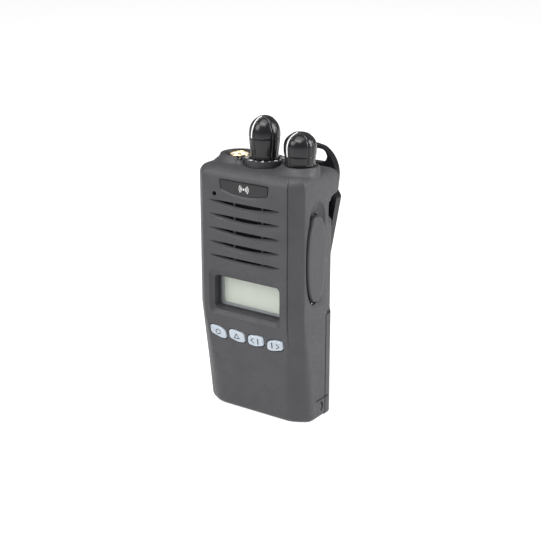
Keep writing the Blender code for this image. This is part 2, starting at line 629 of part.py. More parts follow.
def build_battery():
    levels = [(0.0, 0.0006), (0.0006, 0.0), (0.0507, 0.0), (0.0510, 0.0), (0.0935, 0.0), (BATTERY_TOP, 0.0016)]
    case = loft("battery_case", [battery_section(z, inset) for z, inset in levels], HOUSING)
    # only the wings reach forward beside the case
    combine(case, box("case_room", (-0.0274, 0.0200, -0.010), (0.0274, 0.0278, 0.110), cutter=True))
    combine(case, box("upper_room", (-0.0320, 0.0200, 0.0510), (0.0320, 0.0262, 0.110), cutter=True))
    hollow = [(0.0018, 0.0016), (0.0480, 0.0016), (0.0930, 0.0016), (0.0939, 0.0022)]
    inner = []
    for z, inset in hollow:
        half = 0.0270 - inset
        right = [(half, 0.0200), (half, 0.0305), (0.0236 - inset, 0.0350 - inset), (0.0200 - inset, 0.0370 - inset)]
        left = [(-x, depth) for x, depth in reversed(right)]
        inner.append([at(x, depth, z) for x, depth in right + left])
    combine(case, loft("cell_room", inner, cutter=True))
    cover = box("battery_cover", (-0.0270, 0.0262, 0.0022), (0.0270, 0.0275, 0.0954), HOUSING)
    combine(cover, box("contact_window", (-0.0083, 0.0200, 0.0097), (0.0083, 0.0300, 0.0183), cutter=True))
    box("battery_contacts", (-0.0080, 0.0262, 0.0100), (0.0080, 0.0284, 0.0180), GOLD)
    for name, low, high in (("cell_left", -0.0216, -0.0004), ("cell_right", 0.0004, 0.0216)):
        box(name, (low, 0.0290, 0.0240), (high, 0.0332, 0.0900), CELL, bevel=0.0012)
    box("battery_board", (-0.0180, 0.0290, 0.0050), (0.0180, 0.0300, 0.0225), BOARD)


def build_latch():
    latch = box("release_latch", (-0.0085, 0.0165, 0.0005), (0.0085, 0.0236, 0.0020), KNOB_PLASTIC)
    combine(latch, box("latch_tongue", (-0.0050, 0.0220, 0.0005), (0.0050, 0.0262, 0.0020), cutter=True), "UNION")
    catch = box("safety_catch", (-0.0085, 0.0112, 0.0004), (0.0085, 0.0146, 0.0016), STEEL)
    move_origin(catch, (0, 0.0115, 0.0010))


# ---------------------------------------------------------------- belt clip
def clip_side_outline():
    """Side view of the clip lever, as depth and height: sloping arm, then a steeper thumb tab."""
    rear = [(0.0394, 0.0540), (0.0418, 0.0617), (0.0539, 0.0984), (0.0562, 0.1040), (0.0575, 0.1080),
            (0.0583, 0.1180), (0.0584, 0.1215)]
    front = [(0.0566, 0.1230), (0.0548, 0.1224), (0.0543, 0.1180), (0.0535, 0.1084), (0.0522, 0.1050),
             (0.0498, 0.0990), (0.0384, 0.0640), (0.0373, 0.0590), (0.0374, 0.0550), (0.0384, 0.0537)]
    return rear + front


def clip_front_outline():
    """Front view of the clip lever: wide arm with rounded shoulders under a round tab."""
    tab_radius, tab_height = 0.0150, 0.1080
    outline = [(-0.0125, 0.0530), (0.0125, 0.0530), (0.0152, 0.0560), (CLIP_HALF_WIDTH, 0.0700),
               (CLIP_HALF_WIDTH, 0.0975), (0.0174, 0.1000), (0.0160, 0.1016), (0.0150, 0.1022)]
    for step in range(13):
        angle = math.pi * step / 12
        outline.append((tab_radius * math.cos(angle), tab_height + tab_radius * math.sin(angle)))
    outline += [(-0.0150, 0.1022), (-0.0160, 0.1016), (-0.0174, 0.1000), (-CLIP_HALF_WIDTH, 0.0975),
                (-CLIP_HALF_WIDTH, 0.0700), (-0.0152, 0.0560)]
    return outline


def build_clip():
    depth, height = PIVOT
    lever = flat_shape("clip_lever", clip_side_outline(), 0.040, (0, 0, 0), "YZ", KNOB_PLASTIC)
    lever.matrix_world = Matrix.Translation(at(0, 0, 0)) @ PLANES["YZ"]
    combine(lever, flat_shape("lever_front_view", clip_front_outline(), 0.060, (0, 0.045, 0), cutter=True),
            "INTERSECT")
    slot = fillet([(-0.0093, 0.1140, 0.0032), (0.0093, 0.1140, 0.0032), (0.0093, 0.1205, 0.0032),
                   (-0.0093, 0.1205, 0.0032)])
    combine(lever, flat_shape("thumb_slot", slot, 0.060, (0, 0.045, 0), cutter=True))
    for side in (-1, 1):
        low, high = sorted((side * 0.0042, side * 0.0120))
        knuckle = fillet([(depth - 0.0033, height - 0.0033, 0.0032), (depth + 0.0055, height - 0.0033, 0),
                          (depth + 0.0055, height + 0.0033, 0), (depth - 0.0033, height + 0.0033, 0.0032)])
        piece = flat_shape(f"knuckle_{side + 2}", knuckle, high - low, ((low + high) / 2, 0, 0), "YZ", cutter=True)
        combine(lever, piece, "UNION")
    combine(lever, cylinder("lever_bore", (0, depth, height), PIN_RADIUS + GAP, 0.030, "X", cutter=True, sides=16))
    move_origin(lever, (0, depth, height))

    base_low, base_high = 0.0968, 0.1062
    bracket = box("clip_bracket", (-0.0146, 0.0262, base_low), (0.0146, 0.0280, base_high), STEEL)
    for side in (-1, 1):
        ear = [(0.0270, base_low), (depth - 0.0005, height - 0.0029), (depth + 0.0017, height - 0.0023),
               (depth + 0.0029, height), (depth + 0.0017, height + 0.0023), (depth - 0.0005, height + 0.0029),
               (0.0270, base_high)]
        combine(bracket, flat_shape(f"ear_{side + 2}", ear, 0.0018, (side * 0.0133, 0, 0), "YZ", cutter=True),
                "UNION")
    combine(bracket, cylinder("ear_bore", (0, depth, height), PIN_RADIUS + GAP, 0.040, "X", cutter=True, sides=16))
    pin = cylinder("clip_pin", (0, depth, height), PIN_RADIUS, 0.0300, "X", STEEL, sides=16)
    for side in (-1, 1):
        combine(pin, cylinder(f"pin_head_{side + 2}", (side * 0.0153, depth, height), 0.0022, 0.0014, "X",
                              cutter=True, sides=16), "UNION")
    for name, x in (("clip_screw_left", -0.0085), ("clip_screw_right", 0.0085)):
        combine(bracket, cylinder(name + "_hole", (x, 0.0270, 0.1015), 0.0013, 0.008, "Y", cutter=True, sides=14))
        screw = cylinder(name, (x, 0.0291, 0.1015), 0.0021, 0.0016, "Y", STEEL, sides=18)
        combine(screw, cylinder(name + "_shank", (x, 0.0275, 0.1015), 0.0010, 0.0026, "Y", cutter=True, sides=14),
                "UNION")
    build_spring(depth, height)


def build_spring(depth, height):
    """Torsion spring wound round the clip pin, with a leg on the bracket and one on the lever."""
    wire, coil, turns, steps = 0.00035, 0.0023, 3.75, 12
    width = 0.0060
    points = [(-width / 2, 0.0290 - depth, 0.0015), (-width / 2, -0.0060, 0.0020)]
    last = round(turns * steps)
    for step in range(last + 1):
        angle = 2 * math.pi * step / steps + math.pi / 2
        points.append((-width / 2 + width * step / last, coil * math.cos(angle), coil * math.sin(angle)))
    points.append((width / 2, 0.0011, -0.0055))
    curve = bpy.data.curves.new("clip_spring", "CURVE")
    curve.dimensions = "3D"
    curve.bevel_depth = wire
    curve.bevel_resolution = 1
    curve.use_fill_caps = True
    spline = curve.splines.new("POLY")
    spline.points.add(len(points) - 1)
    for point, place in zip(spline.points, points):
        point.co = (*place, 1.0)
    guide = bpy.data.objects.new("clip_spring_route", curve)
    CUTTERS.objects.link(guide)
    spring = add_object("clip_spring", solid_mesh(guide, "clip_spring"), STEEL)
    spring.location = at(0, depth, height)


build_front_case()
build_front_pieces()
build_speaker()
build_top_fittings()
build_side_pieces()
build_inside()
build_battery()
build_latch()
build_clip()
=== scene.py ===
"""The finished look of a handheld two-way radio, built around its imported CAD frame.

Metres, +Z up. X runs to the right as seen from the front, Y runs from the front to the back.
"""

import json
import math

import bmesh
import bpy
from mathutils import Matrix, Vector

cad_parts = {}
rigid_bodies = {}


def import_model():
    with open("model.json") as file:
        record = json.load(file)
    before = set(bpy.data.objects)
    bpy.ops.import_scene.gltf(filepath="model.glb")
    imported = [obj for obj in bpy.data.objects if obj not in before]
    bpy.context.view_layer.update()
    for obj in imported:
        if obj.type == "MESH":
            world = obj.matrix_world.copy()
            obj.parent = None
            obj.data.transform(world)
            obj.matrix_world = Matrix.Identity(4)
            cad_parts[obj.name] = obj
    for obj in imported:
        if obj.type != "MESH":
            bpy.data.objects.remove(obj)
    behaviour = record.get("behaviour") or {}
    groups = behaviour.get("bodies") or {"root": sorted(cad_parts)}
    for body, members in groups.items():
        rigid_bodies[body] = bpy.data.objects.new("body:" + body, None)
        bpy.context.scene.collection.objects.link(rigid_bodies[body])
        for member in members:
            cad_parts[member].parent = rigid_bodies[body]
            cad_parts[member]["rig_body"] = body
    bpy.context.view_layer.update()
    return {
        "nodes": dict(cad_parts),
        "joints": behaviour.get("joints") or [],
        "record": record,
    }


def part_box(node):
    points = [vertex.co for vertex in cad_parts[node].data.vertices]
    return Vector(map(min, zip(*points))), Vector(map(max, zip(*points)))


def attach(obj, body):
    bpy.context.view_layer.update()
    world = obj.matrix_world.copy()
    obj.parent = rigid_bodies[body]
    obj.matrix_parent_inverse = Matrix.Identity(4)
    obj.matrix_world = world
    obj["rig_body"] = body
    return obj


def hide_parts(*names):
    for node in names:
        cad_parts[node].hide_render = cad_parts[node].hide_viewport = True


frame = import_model()
NODES = frame["nodes"]

# ---------------------------------------------------------------- places taken from the frame
CASE_LOW, CASE_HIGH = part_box("front_case")
FRONT = CASE_LOW.y
HALF_WIDTH = CASE_HIGH.x


def middle(node):
    low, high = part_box(node)
    return (low + high) / 2


SELECTOR = middle("selector_shaft")
VOLUME = middle("volume_shaft")
ANTENNA = middle("antenna_contact")
STATUS = middle("status_lens")
CAP = middle("accessory_cap")
MICROPHONE = middle("microphone")

# ---------------------------------------------------------------- sizes of the casing
PANEL_HALF = 0.023               # flat front panel
PANEL_TAPER = 0.0024             # how much narrower it is at the base
CHAMFER = 0.006                  # corner between the panel and the side
CHAMFER_GROWTH = 0.0068          # how much further back the side starts at the base
BEND = 0.052                     # height where the front starts to slope back
BEND_BLEND = 0.006
BASE_SETBACK = 0.0077
SHOULDER = 0.1145
SHOULDER_RADIUS = 0.005
WALL = 0.0019
CASE_REAR = 0.0259
HEAD_REAR = 0.0344
HEAD_UNDERSIDE = 0.1074
WING_TOP = 0.0513
WING_DEPTH = 0.0244

SLOT_COUNT = 5
SLOT_TOP = 0.1046
SLOT_PITCH = 0.00653
SLOT_HALF = 0.0152
SLOT_SAG = 0.0024

KEY_Z = 0.0402
KEY_PITCH = 0.01066
KEY_LEAN = math.atan(BASE_SETBACK / BEND)

MARK_Z = 0.1117                  # signal mark on the badge
LABEL_LIFT = 0.00003             # how far printing stands proud

WELD = 0.000002                  # points closer than this are one point
CUT, JOIN, KEEP = "DIFFERENCE", "UNION", "INTERSECT"


def at(x, depth, z):
    """A point given by its depth behind the front face."""
    return Vector((x, FRONT + depth, z))


def ease(value):
    """A smooth step from 0 to 1."""
    value = min(1.0, max(0.0, value))
    return value * value * (3 - 2 * value)


# ---------------------------------------------------------------- materials
def link(tree, source, target):
    tree.links.new(source, target)


def noise(tree, coords, scale, detail=2.0, roughness=0.5):
    node = tree.nodes.new("ShaderNodeTexNoise")
    node.inputs["Scale"].default_value = scale
    node.inputs["Detail"].default_value = detail
    node.inputs["Roughness"].default_value = roughness
    link(tree, coords, node.inputs["Vector"])
    return node.outputs["Fac"]


def remap(tree, value, low, high, start=0.0, end=1.0):
    node = tree.nodes.new("ShaderNodeMapRange")
    node.inputs["From Min"].default_value = low
    node.inputs["From Max"].default_value = high
    node.inputs["To Min"].default_value = start
    node.inputs["To Max"].default_value = end
    link(tree, value, node.inputs["Value"])
    return node.outputs["Result"]


def mixed(tree, factor, first, second):
    node = tree.nodes.new("ShaderNodeMix")
    node.data_type = "RGBA"
    link(tree, factor, node.inputs["Factor"])
    for socket, colour in ((node.inputs[6], first), (node.inputs[7], second)):
        if isinstance(colour, tuple):
            socket.default_value = (*colour, 1.0)
        else:
            link(tree, colour, socket)
    return node.outputs[2]


def shaded(colour, amount):
    return tuple(min(1.0, channel * amount) for channel in colour)


def make_finish(name, colour, roughness, metallic=0.0, mottle=0.08, grain=0.0, grain_size=0.0003, specular=0.5,
                dust=0.0, brushed=False, coat=0.0, alpha=1.0, painted_glow=0.0):
    """A moulded, plated or painted finish: colour mottling, uneven gloss, fine grain, settled dust and an optional
    faint painted glow that stands in for light.
    """
    material = bpy.data.materials.new(name)
    material.use_nodes = True
    tree = material.node_tree
    shader = tree.nodes["Principled BSDF"]
    coords = tree.nodes.new("ShaderNodeTexCoord").outputs["Object"]
    if brushed:
        stretch = tree.nodes.new("ShaderNodeMapping")
        stretch.inputs["Scale"].default_value = (1.0, 1.0, 14.0)
        link(tree, coords, stretch.inputs["Vector"])
        fine_coords = stretch.outputs["Vector"]
    else:
        fine_coords = coords
    clouds = noise(tree, coords, 95.0, 4.0)
    speckle = noise(tree, fine_coords, 1 / grain_size, 2.0)
    tone = mixed(tree, remap(tree, clouds, 0.35, 0.65), shaded(colour, 1 - mottle), shaded(colour, 1 + mottle))
    tone = mixed(tree, remap(tree, speckle, 0.40, 0.60, 0.0, 0.5), tone, shaded(colour, 1 - 2 * mottle))
    if dust:
        cells = tree.nodes.new("ShaderNodeTexVoronoi")
        cells.inputs["Scale"].default_value = 150.0
        link(tree, coords, cells.inputs["Vector"])
        specks = remap(tree, cells.outputs["Distance"], 0.022, 0.010, 0.0, dust)
        tone = mixed(tree, specks, tone, (0.45, 0.45, 0.44))
    link(tree, tone, shader.inputs["Base Color"])
    gloss = noise(tree, coords, 420.0, 3.0)
    link(tree, remap(tree, gloss, 0.3, 0.7, max(0.0, roughness - 0.06), min(1.0, roughness + 0.06)),
         shader.inputs["Roughness"])
    shader.inputs["Metallic"].default_value = metallic
    shader.inputs["Specular IOR Level"].default_value = specular
    shader.inputs["Coat Weight"].default_value = coat
    shader.inputs["Coat Roughness"].default_value = 0.08
    shader.inputs["Alpha"].default_value = alpha
    # painted light: a faint emission in the surface's own tone, standing in for light the surface does not receive
    if painted_glow:
        link(tree, tone, shader.inputs["Emission Color"])
        shader.inputs["Emission Strength"].default_value = painted_glow
    if grain:
        bump = tree.nodes.new("ShaderNodeBump")
        bump.inputs["Strength"].default_value = 1.0
        bump.inputs["Distance"].default_value = grain
        link(tree, speckle, bump.inputs["Height"])
        link(tree, bump.outputs["Normal"], shader.inputs["Normal"])
    return material


HOUSING = make_finish("charcoal_texture", (0.052, 0.0515, 0.057), 0.52, mottle=0.10, grain=0.00008,
                      grain_size=0.00045, specular=0.45, dust=0.6)
BADGE = make_finish("badge_satin", (0.011, 0.011, 0.013), 0.45, mottle=0.04, grain=0.000008, grain_size=0.0002)
CAP_FINISH = make_finish("cap_satin", (0.046, 0.046, 0.050), 0.44, mottle=0.04, grain=0.000012,
                         grain_size=0.00025, specular=0.4, dust=0.4)
KNOB_GLOSS = make_finish("knob_gloss", (0.010, 0.010, 0.012), 0.24, mottle=0.10, grain=0.0000008,
                         grain_size=0.0006, specular=0.45)
CLIP_GLOSS = make_finish("clip_black", (0.008, 0.008, 0.010), 0.26, mottle=0.10, grain=0.000002,
                         grain_size=0.0005, specular=0.35)
RING_BLACK = make_finish("collar_black", (0.028, 0.028, 0.031), 0.45, mottle=0.08, grain=0.00001,
                         grain_size=0.0002)
RUBBER = make_finish("black_rubber", (0.030, 0.030, 0.033), 0.75, mottle=0.10, grain=0.00002,
                     grain_size=0.0002, specular=0.3, dust=0.4)
KEY_SATIN = make_finish("key_silver_blue", (0.46, 0.51, 0.57), 0.42, mottle=0.03, grain=0.000004,
                        grain_size=0.00025)
KEY_PRINT = make_finish("key_print", (0.030, 0.033, 0.040), 0.5, mottle=0.10, grain_size=0.0002)
WHITE_PRINT = make_finish("white_print", (0.82, 0.82, 0.80), 0.45, mottle=0.04, grain_size=0.0002)
# painted light: the display film's faint emission lifts the reflective film out of the shade of its recess
LCD = make_finish("display_film", (0.56, 0.60, 0.525), 0.45, mottle=0.008, grain_size=0.0009, painted_glow=0.05)
LCD_EDGE = make_finish("display_gasket", (0.30, 0.31, 0.335), 0.5, mottle=0.04, grain_size=0.0004)
WINDOW = make_finish("display_window", (0.72, 0.76, 0.72), 0.10, mottle=0.01, grain_size=0.0005, alpha=0.05)
LENS = make_finish("status_lens", (0.020, 0.021, 0.022), 0.06, mottle=0.05, grain_size=0.0004, coat=0.5)
CREAM = make_finish("cream_insulator", (0.80, 0.77, 0.68), 0.35, mottle=0.05, grain_size=0.0003)
DIE_CAST = make_finish("die_cast_alloy", (0.42, 0.42, 0.43), 0.45, 1.0, mottle=0.08, grain=0.00002,
                       grain_size=0.0005)
STEEL = make_finish("plated_steel", (0.60, 0.60, 0.62), 0.28, 1.0, mottle=0.06, grain=0.000003,
                    grain_size=0.0003, brushed=True)
GOLD = make_finish("gold_plating", (0.83, 0.64, 0.32), 0.24, 1.0, mottle=0.08, grain=0.000003, grain_size=0.0003)
BOARD = make_finish("circuit_board", (0.025, 0.15, 0.07), 0.40, mottle=0.15, grain=0.00001, grain_size=0.0006)
FELT = make_finish("speaker_felt", (0.010, 0.010, 0.011), 0.95, mottle=0.3, grain=0.00008, grain_size=0.0003,
                   specular=0.1)
CONE = make_finish("paper_cone", (0.10, 0.09, 0.08), 0.85, mottle=0.15, grain=0.00003, grain_size=0.0005)
CELL = make_finish("cell_wrap", (0.10, 0.22, 0.42), 0.35, mottle=0.06, grain_size=0.0004)

NODE_FINISH = {
    "rubber": RUBBER, "die_cast": DIE_CAST, "steel": STEEL, "gold": GOLD, "board": BOARD, "felt": FELT,
    "cone": CONE, "cell": CELL, "insulator": CREAM, "housing": HOUSING, "cap": CAP_FINISH,
    "knob_black": KNOB_GLOSS, "key": KEY_SATIN, "window": WINDOW, "indicator": LENS, "display": LCD,
}


def dress_nodes():
    """Give every CAD node the detailed finish of its material slot."""
    for part in frame["record"]["subparts"]:
        mesh = NODES[part["node"]].data
        mesh.materials.clear()
        mesh.materials.append(NODE_FINISH[part["material_slot"]])


# ---------------------------------------------------------------- modelling helpers
def add_object(name, data):
    thing = bpy.data.objects.new(name, data)
    bpy.context.scene.collection.objects.link(thing)
    return thing


def meshed(bm, name):
    """A bmesh turned into a mesh, then freed."""
    mesh = bpy.data.meshes.new(name)
    bm.to_mesh(mesh)
    bm.free()
    return mesh


def evaluated(helper):
    """The final shape of a helper object as a bmesh."""
    bpy.context.view_layer.update()
    mesh = bpy.data.meshes.new_from_object(helper.evaluated_get(bpy.context.evaluated_depsgraph_get()))
    bm = bmesh.new()
    bm.from_mesh(mesh)
    bpy.data.meshes.remove(mesh)
    return bm


def curve_solid(curve):
    """The shape of a curve as a bmesh."""
    helper = add_object(curve.name, curve)
    bm = evaluated(helper)
    bpy.data.objects.remove(helper)
    return bm


def soften(piece, width, segments, degrees):
    """Round a piece's own edges where they turn by more than an angle."""
    change = piece.modifiers.new("broken_edges", "BEVEL")
    change.width = width
    change.segments = segments
    change.limit_method = "ANGLE"
    change.angle_limit = math.radians(degrees)


def add_piece(name, bm, material, body, replaces=(), angle=32):
    """Turn a bmesh into a finished piece that rides on a CAD body."""
    bmesh.ops.remove_doubles(bm, verts=bm.verts, dist=WELD)
    mesh = meshed(bm, name)
    mesh.materials.append(material)
    mesh.shade_smooth()
    mesh.set_sharp_from_angle(angle=math.radians(angle))
    piece = add_object(name, mesh)
    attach(piece, body)
    if replaces:
        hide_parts(*replaces)
    return piece


def lofted(rings):
    """A closed solid through rings of points that all have the same count, each loop grown from the last."""
    bm = bmesh.new()
    row = [bm.verts.new(point) for point in rings[0]]
    edges = [bm.edges.new((row[i - 1], row[i])) for i in range(len(row))]
    bmesh.ops.contextual_create(bm, geom=edges)
    for ring in rings[1:]:
        grown = bmesh.ops.extrude_edge_only(bm, edges=edges)["geom"]
        fresh = {item for item in grown if isinstance(item, bmesh.types.BMVert)}
        row = [next(edge.other_vert(vert) for edge in vert.link_edges if edge.other_vert(vert) in fresh)
               for vert in row]
        edges = [item for item in grown if isinstance(item, bmesh.types.BMEdge) and fresh.issuperset(item.verts)]
        for vert, point in zip(row, ring):
            vert.co = point
    bmesh.ops.contextual_create(bm, geom=edges)
    bmesh.ops.recalc_face_normals(bm, faces=bm.faces)
    return bm


def turned(profile, axis, steps=96):
    """A turned solid from (radius, height) points, down its outer side and back up its bore."""
    bm = bmesh.new()
    points = [bm.verts.new((axis.x + radius, axis.y, height)) for radius, height in profile]
    edges = [bm.edges.new(pair) for pair in zip(points, points[1:])]
    if profile[0][0] > 0.0:
        edges.append(bm.edges.new((points[-1], points[0])))
    bmesh.ops.spin(bm, geom=points + edges, cent=(axis.x, axis.y, 0.0), axis=(0, 0, 1), dvec=(0, 0, 0),
                   angle=2 * math.pi, steps=steps, use_merge=True, use_duplicate=False)
    bmesh.ops.remove_doubles(bm, verts=bm.verts, dist=WELD)
    bmesh.ops.recalc_face_normals(bm, faces=bm.faces)
    return bm


def block(low, high, bevel=0.0, segments=3):
    """A block between two corners given as x, depth, z, with rounded edges."""
    bm = bmesh.new()
    bmesh.ops.create_cube(bm, size=1.0)
    bmesh.ops.scale(bm, vec=Vector(high) - Vector(low), verts=bm.verts)
    bmesh.ops.translate(bm, vec=at(*((Vector(low) + Vector(high)) / 2)), verts=bm.verts)
    if bevel:
        bmesh.ops.bevel(bm, geom=bm.edges[:], offset=bevel, segments=segments, affect="EDGES", profile=0.5,
                        material=-1)
    return bm


def rod(centre, radius, length, axis="Z", sides=48):
    """A plain round rod, centred on a world point."""
    turns = {"Z": Matrix(), "Y": Matrix.Rotation(math.pi / 2, 4, "X"), "X": Matrix.Rotation(math.pi / 2, 4, "Y")}
    bm = bmesh.new()
    bmesh.ops.create_cone(bm, cap_ends=True, segments=sides, radius1=radius, radius2=radius, depth=length,
                          matrix=Matrix.Translation(centre) @ turns[axis])
    return bm


def ball(centre, radii, segments=48):
    bm = bmesh.new()
    bmesh.ops.create_uvsphere(bm, u_segments=segments, v_segments=segments // 2, radius=1.0,
                              matrix=Matrix.Translation(centre) @ Matrix.Diagonal((*radii, 1.0)))
    return bm


def prism(outline, low, high, plane="XZ"):
    """A flat outline pushed through a thickness. XZ looks at the front, YZ at the side, XY down."""
    places = {"XZ": lambda a, b, c: at(a, c, b), "YZ": lambda a, b, c: at(c, a, b), "XY": lambda a, b, c: at(a, b, c)}
    place = places[plane]
    return lofted([[place(a, b, low) for a, b in outline], [place(a, b, high) for a, b in outline]])


def fillet(corners, steps=8):
    """Outline points from (x, y, radius) corners, each rounded with an arc."""
    outline = []
    count = len(corners)
    for index, (x, y, radius) in enumerate(corners):
        here = Vector((x, y))
        if radius <= 0.0:
            outline.append(here)
            continue
        before = (Vector(corners[index - 1][:2]) - here).normalized()
        after = (Vector(corners[(index + 1) % count][:2]) - here).normalized()
        half_angle = before.angle(after) / 2
        room = min((Vector(corners[index - 1][:2]) - here).length,
                   (Vector(corners[(index + 1) % count][:2]) - here).length)
        reach = min(radius / math.tan(half_angle), 0.49 * room)
        radius = reach * math.tan(half_angle)
        centre = here + (before + after).normalized() * (radius / math.sin(half_angle))
        start = here + before * reach - centre
        end = here + after * reach - centre
        sweep = start.angle_signed(end)
        for step in range(steps + 1):
            outline.append(centre + Matrix.Rotation(-sweep * step / steps, 2) @ start)
    return outline


def combined(bm, steps):
    """Join, cut or intersect a solid with others, given as (operation, bmesh) in order."""
    base = add_object("base", meshed(bm, "base"))
    helpers = [base]
    for operation, other in steps:
        tool = add_object("tool", meshed(other, "tool"))
        helpers.append(tool)
        change = base.modifiers.new("step", "BOOLEAN")
        change.operation = operation
        change.solver = "EXACT"
        change.object = tool
    result = evaluated(base)
    for helper in helpers:
        old = helper.data
        bpy.data.objects.remove(helper)
        bpy.data.meshes.remove(old)
    return result


def refined(node, name, material, bevel):
    """A CAD node's own solid with its triangles merged and its edges broken."""
    bm = bmesh.new()
    bm.from_mesh(NODES[node].data)
    bmesh.ops.remove_doubles(bm, verts=bm.verts, dist=0.000005)
    bmesh.ops.dissolve_limit(bm, angle_limit=math.radians(1.0), verts=bm.verts, edges=bm.edges)
    soften(add_piece(name, bm, material, NODES[node]["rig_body"], (node,)), bevel, 2, 40)


# ---------------------------------------------------------------- casing
def front_setback(z):
    """How far the front face stands back at a height."""
    slope = BASE_SETBACK / BEND
    above = z - BEND
    if above >= BEND_BLEND:
        return 0.0
    if above <= -BEND_BLEND:
        return -slope * above
    return slope * (BEND_BLEND - above) ** 2 / (4 * BEND_BLEND)


def rounded_corner(before, corner, after, reach, steps=5):
    """Points along a soft corner between two straight runs."""
    start = corner + (before - corner).normalized() * reach
    end = corner + (after - corner).normalized() * reach
    points = []
    for step in range(steps + 1):
        t = step / steps
        points.append(start * (1 - t) ** 2 + corner * (2 * t * (1 - t)) + end * t ** 2)
    return points


def mirrored(half, z):
    """A level ring from the right half of its outline, given as x and depth."""
    return [at(x, depth, z) for x, depth in half] + [at(-x, depth, z) for x, depth in reversed(half)]


def body_ring(z, rear, inset=0.0, crisp=True):
    """Outline of the casing at a height, moved inwards by an inset.

    The front panel meets the chamfer in a fine groove, which fades into a soft bend below the keys.
    """
    low = max(0.0, (BEND - z) / BEND)
    front = front_setback(z) + inset
    panel = PANEL_HALF - PANEL_TAPER * low - 0.414 * inset
    side = CHAMFER + CHAMFER_GROWTH * low + 0.414 * inset
    wide = HALF_WIDTH - inset
    groove = ease((z - 0.034) / 0.022) * (1 - 0.8 * ease((inset - 0.0015) / 0.0025)) if crisp else 0.0
    soft = 0.0003 + 0.0030 * ease(low * 1.25)
    panel_edge = Vector((panel, front))
    side_edge = Vector((wide, side))
    rear_edge = Vector((wide, rear - inset))
    slant = (side_edge - panel_edge).normalized()
    chamfer = (side_edge - panel_edge).length
    soft = min(soft, 0.3 * chamfer)
    fit = min(1.0, chamfer / 0.0035)
    points = [Vector((panel - soft - 0.0003, front))]
    points += rounded_corner(Vector((0.0, front)), panel_edge, side_edge, soft, 4)
    start = points[-1]
    points += [start + slant * 0.00012 * fit + Vector((-0.00006 * fit, 0.00040 * groove)),
               start + slant * 0.00030 * fit + Vector((-0.00006 * fit, 0.00042 * groove)),
               start + slant * 0.00048 * fit + Vector((0.0, 0.00006 * groove)),
               start + slant * 0.00065 * fit]
    points += rounded_corner(panel_edge, side_edge, rear_edge, min(0.0006 + 0.0040 * low, 0.3 * chamfer))
    points += rounded_corner(side_edge, rear_edge, Vector((0.0, rear - inset)), 0.0012, 3)
    return mirrored(points, z)


def casing_form():
    levels = [(CASE_LOW.z, CASE_REAR, 0.0018), (0.0002, CASE_REAR, 0.0012), (0.0007, CASE_REAR, 0.0006),
              (0.0014, CASE_REAR, 0.0002), (0.0024, CASE_REAR, 0.0)]
    heights = [0.006, 0.010, 0.015, 0.020, 0.025, 0.030, 0.034, 0.038, 0.041]
    heights += [0.044 + 0.0015 * step for step in range(11)]
    heights += [0.0607, 0.0805, 0.1030]
    levels += [(z, CASE_REAR, 0.0) for z in heights]
    levels += [(0.1050, 0.0264, 0.0), (0.1064, 0.0278, 0.0), (HEAD_UNDERSIDE, 0.0300, 0.0),
               (0.1080, 0.0330, 0.0), (0.1092, 0.0341, 0.0), (0.1105, HEAD_REAR, 0.0), (0.1130, HEAD_REAR, 0.0)]
    steps = 12
    for step in range(steps + 1):
        angle = math.pi / 2 * step / steps
        levels.append((SHOULDER + SHOULDER_RADIUS * math.sin(angle), HEAD_REAR,
                       SHOULDER_RADIUS * (1 - math.cos(angle))))
    levels += [(SHOULDER + SHOULDER_RADIUS + 0.0002, HEAD_REAR, 0.0058),
               (SHOULDER + SHOULDER_RADIUS + 0.0006, HEAD_REAR, 0.0085)]
    return lofted([body_ring(*level) for level in levels])


def slot_outline(half, sag, end_height, top, drop=0.0):
    """A straight top edge over a sagging arc."""
    steps = 28
    lower = []
    for step in range(steps + 1):
        x = -half + 2 * half * step / steps
        lower.append((x, top - end_height - (sag + drop) * (1 - (x / half) ** 2)))
    upper = [(half - 2 * half * step / steps, top) for step in range(steps + 1)]
    return lower + upper


def speaker_cutters():
    """Each slot is a through opening inside a flared groove that tapers to a point at both ends."""
    cutters = []
    for index in range(SLOT_COUNT):
        top = SLOT_TOP - index * SLOT_PITCH
        sag = SLOT_SAG if index < SLOT_COUNT - 1 else SLOT_SAG * 0.75
        opening = slot_outline(SLOT_HALF, sag - 0.0008, 0.0004, top - 0.0001)
        flare = slot_outline(SLOT_HALF + 0.0044, sag + 0.0006, 0.0009, top + 0.0002)
        shoulder = slot_outline(SLOT_HALF + 0.0036, sag + 0.0002, 0.0005, top)
        cutters.append(lofted([facing(flare, -0.0002), facing(shoulder, 0.0004), facing(opening, 0.0014)]))
        cutters.append(prism(opening, 0.0008, 0.0045))
    return cutters


def widened(outline, distance):
    """An outline moved outwards, or inwards for a negative distance."""
    count = len(outline)
    turning = sum(outline[i - 1][0] * outline[i][1] - outline[i][0] * outline[i - 1][1] for i in range(count))
    moved = []
    for index, point in enumerate(outline):
        along = Vector(outline[(index + 1) % count]) - Vector(outline[index - 1])
        outwards = Vector((along.y, -along.x)).normalized() * math.copysign(1.0, turning)
        moved.append(Vector(point) + outwards * distance)
    return moved


def key_outline(index, grow=0.0):
    """Outline of a soft key: the two left keys mirror the two right ones."""
    side = 1 if index >= 2 else -1
    if index in (0, 3):
        corners = [(-0.0045, -0.0030, 0.0012), (-0.0010, -0.0031, 0.0050), (0.0045, -0.0014, 0.0018),
                   (0.0045, 0.0028, 0.0009), (0.0002, 0.0028, 0.0060), (-0.0042, 0.0015, 0.0026)]
    else:
        corners = [(-0.0044, -0.0026, 0.0014), (-0.0004, -0.0031, 0.0050), (0.0043, -0.0018, 0.0016),
                   (0.0045, 0.0026, 0.0013), (0.0010, 0.0028, 0.0050), (-0.0044, 0.0020, 0.0020)]
    return widened(fillet([(side * x, z, radius) for x, z, radius in corners], steps=7), grow)


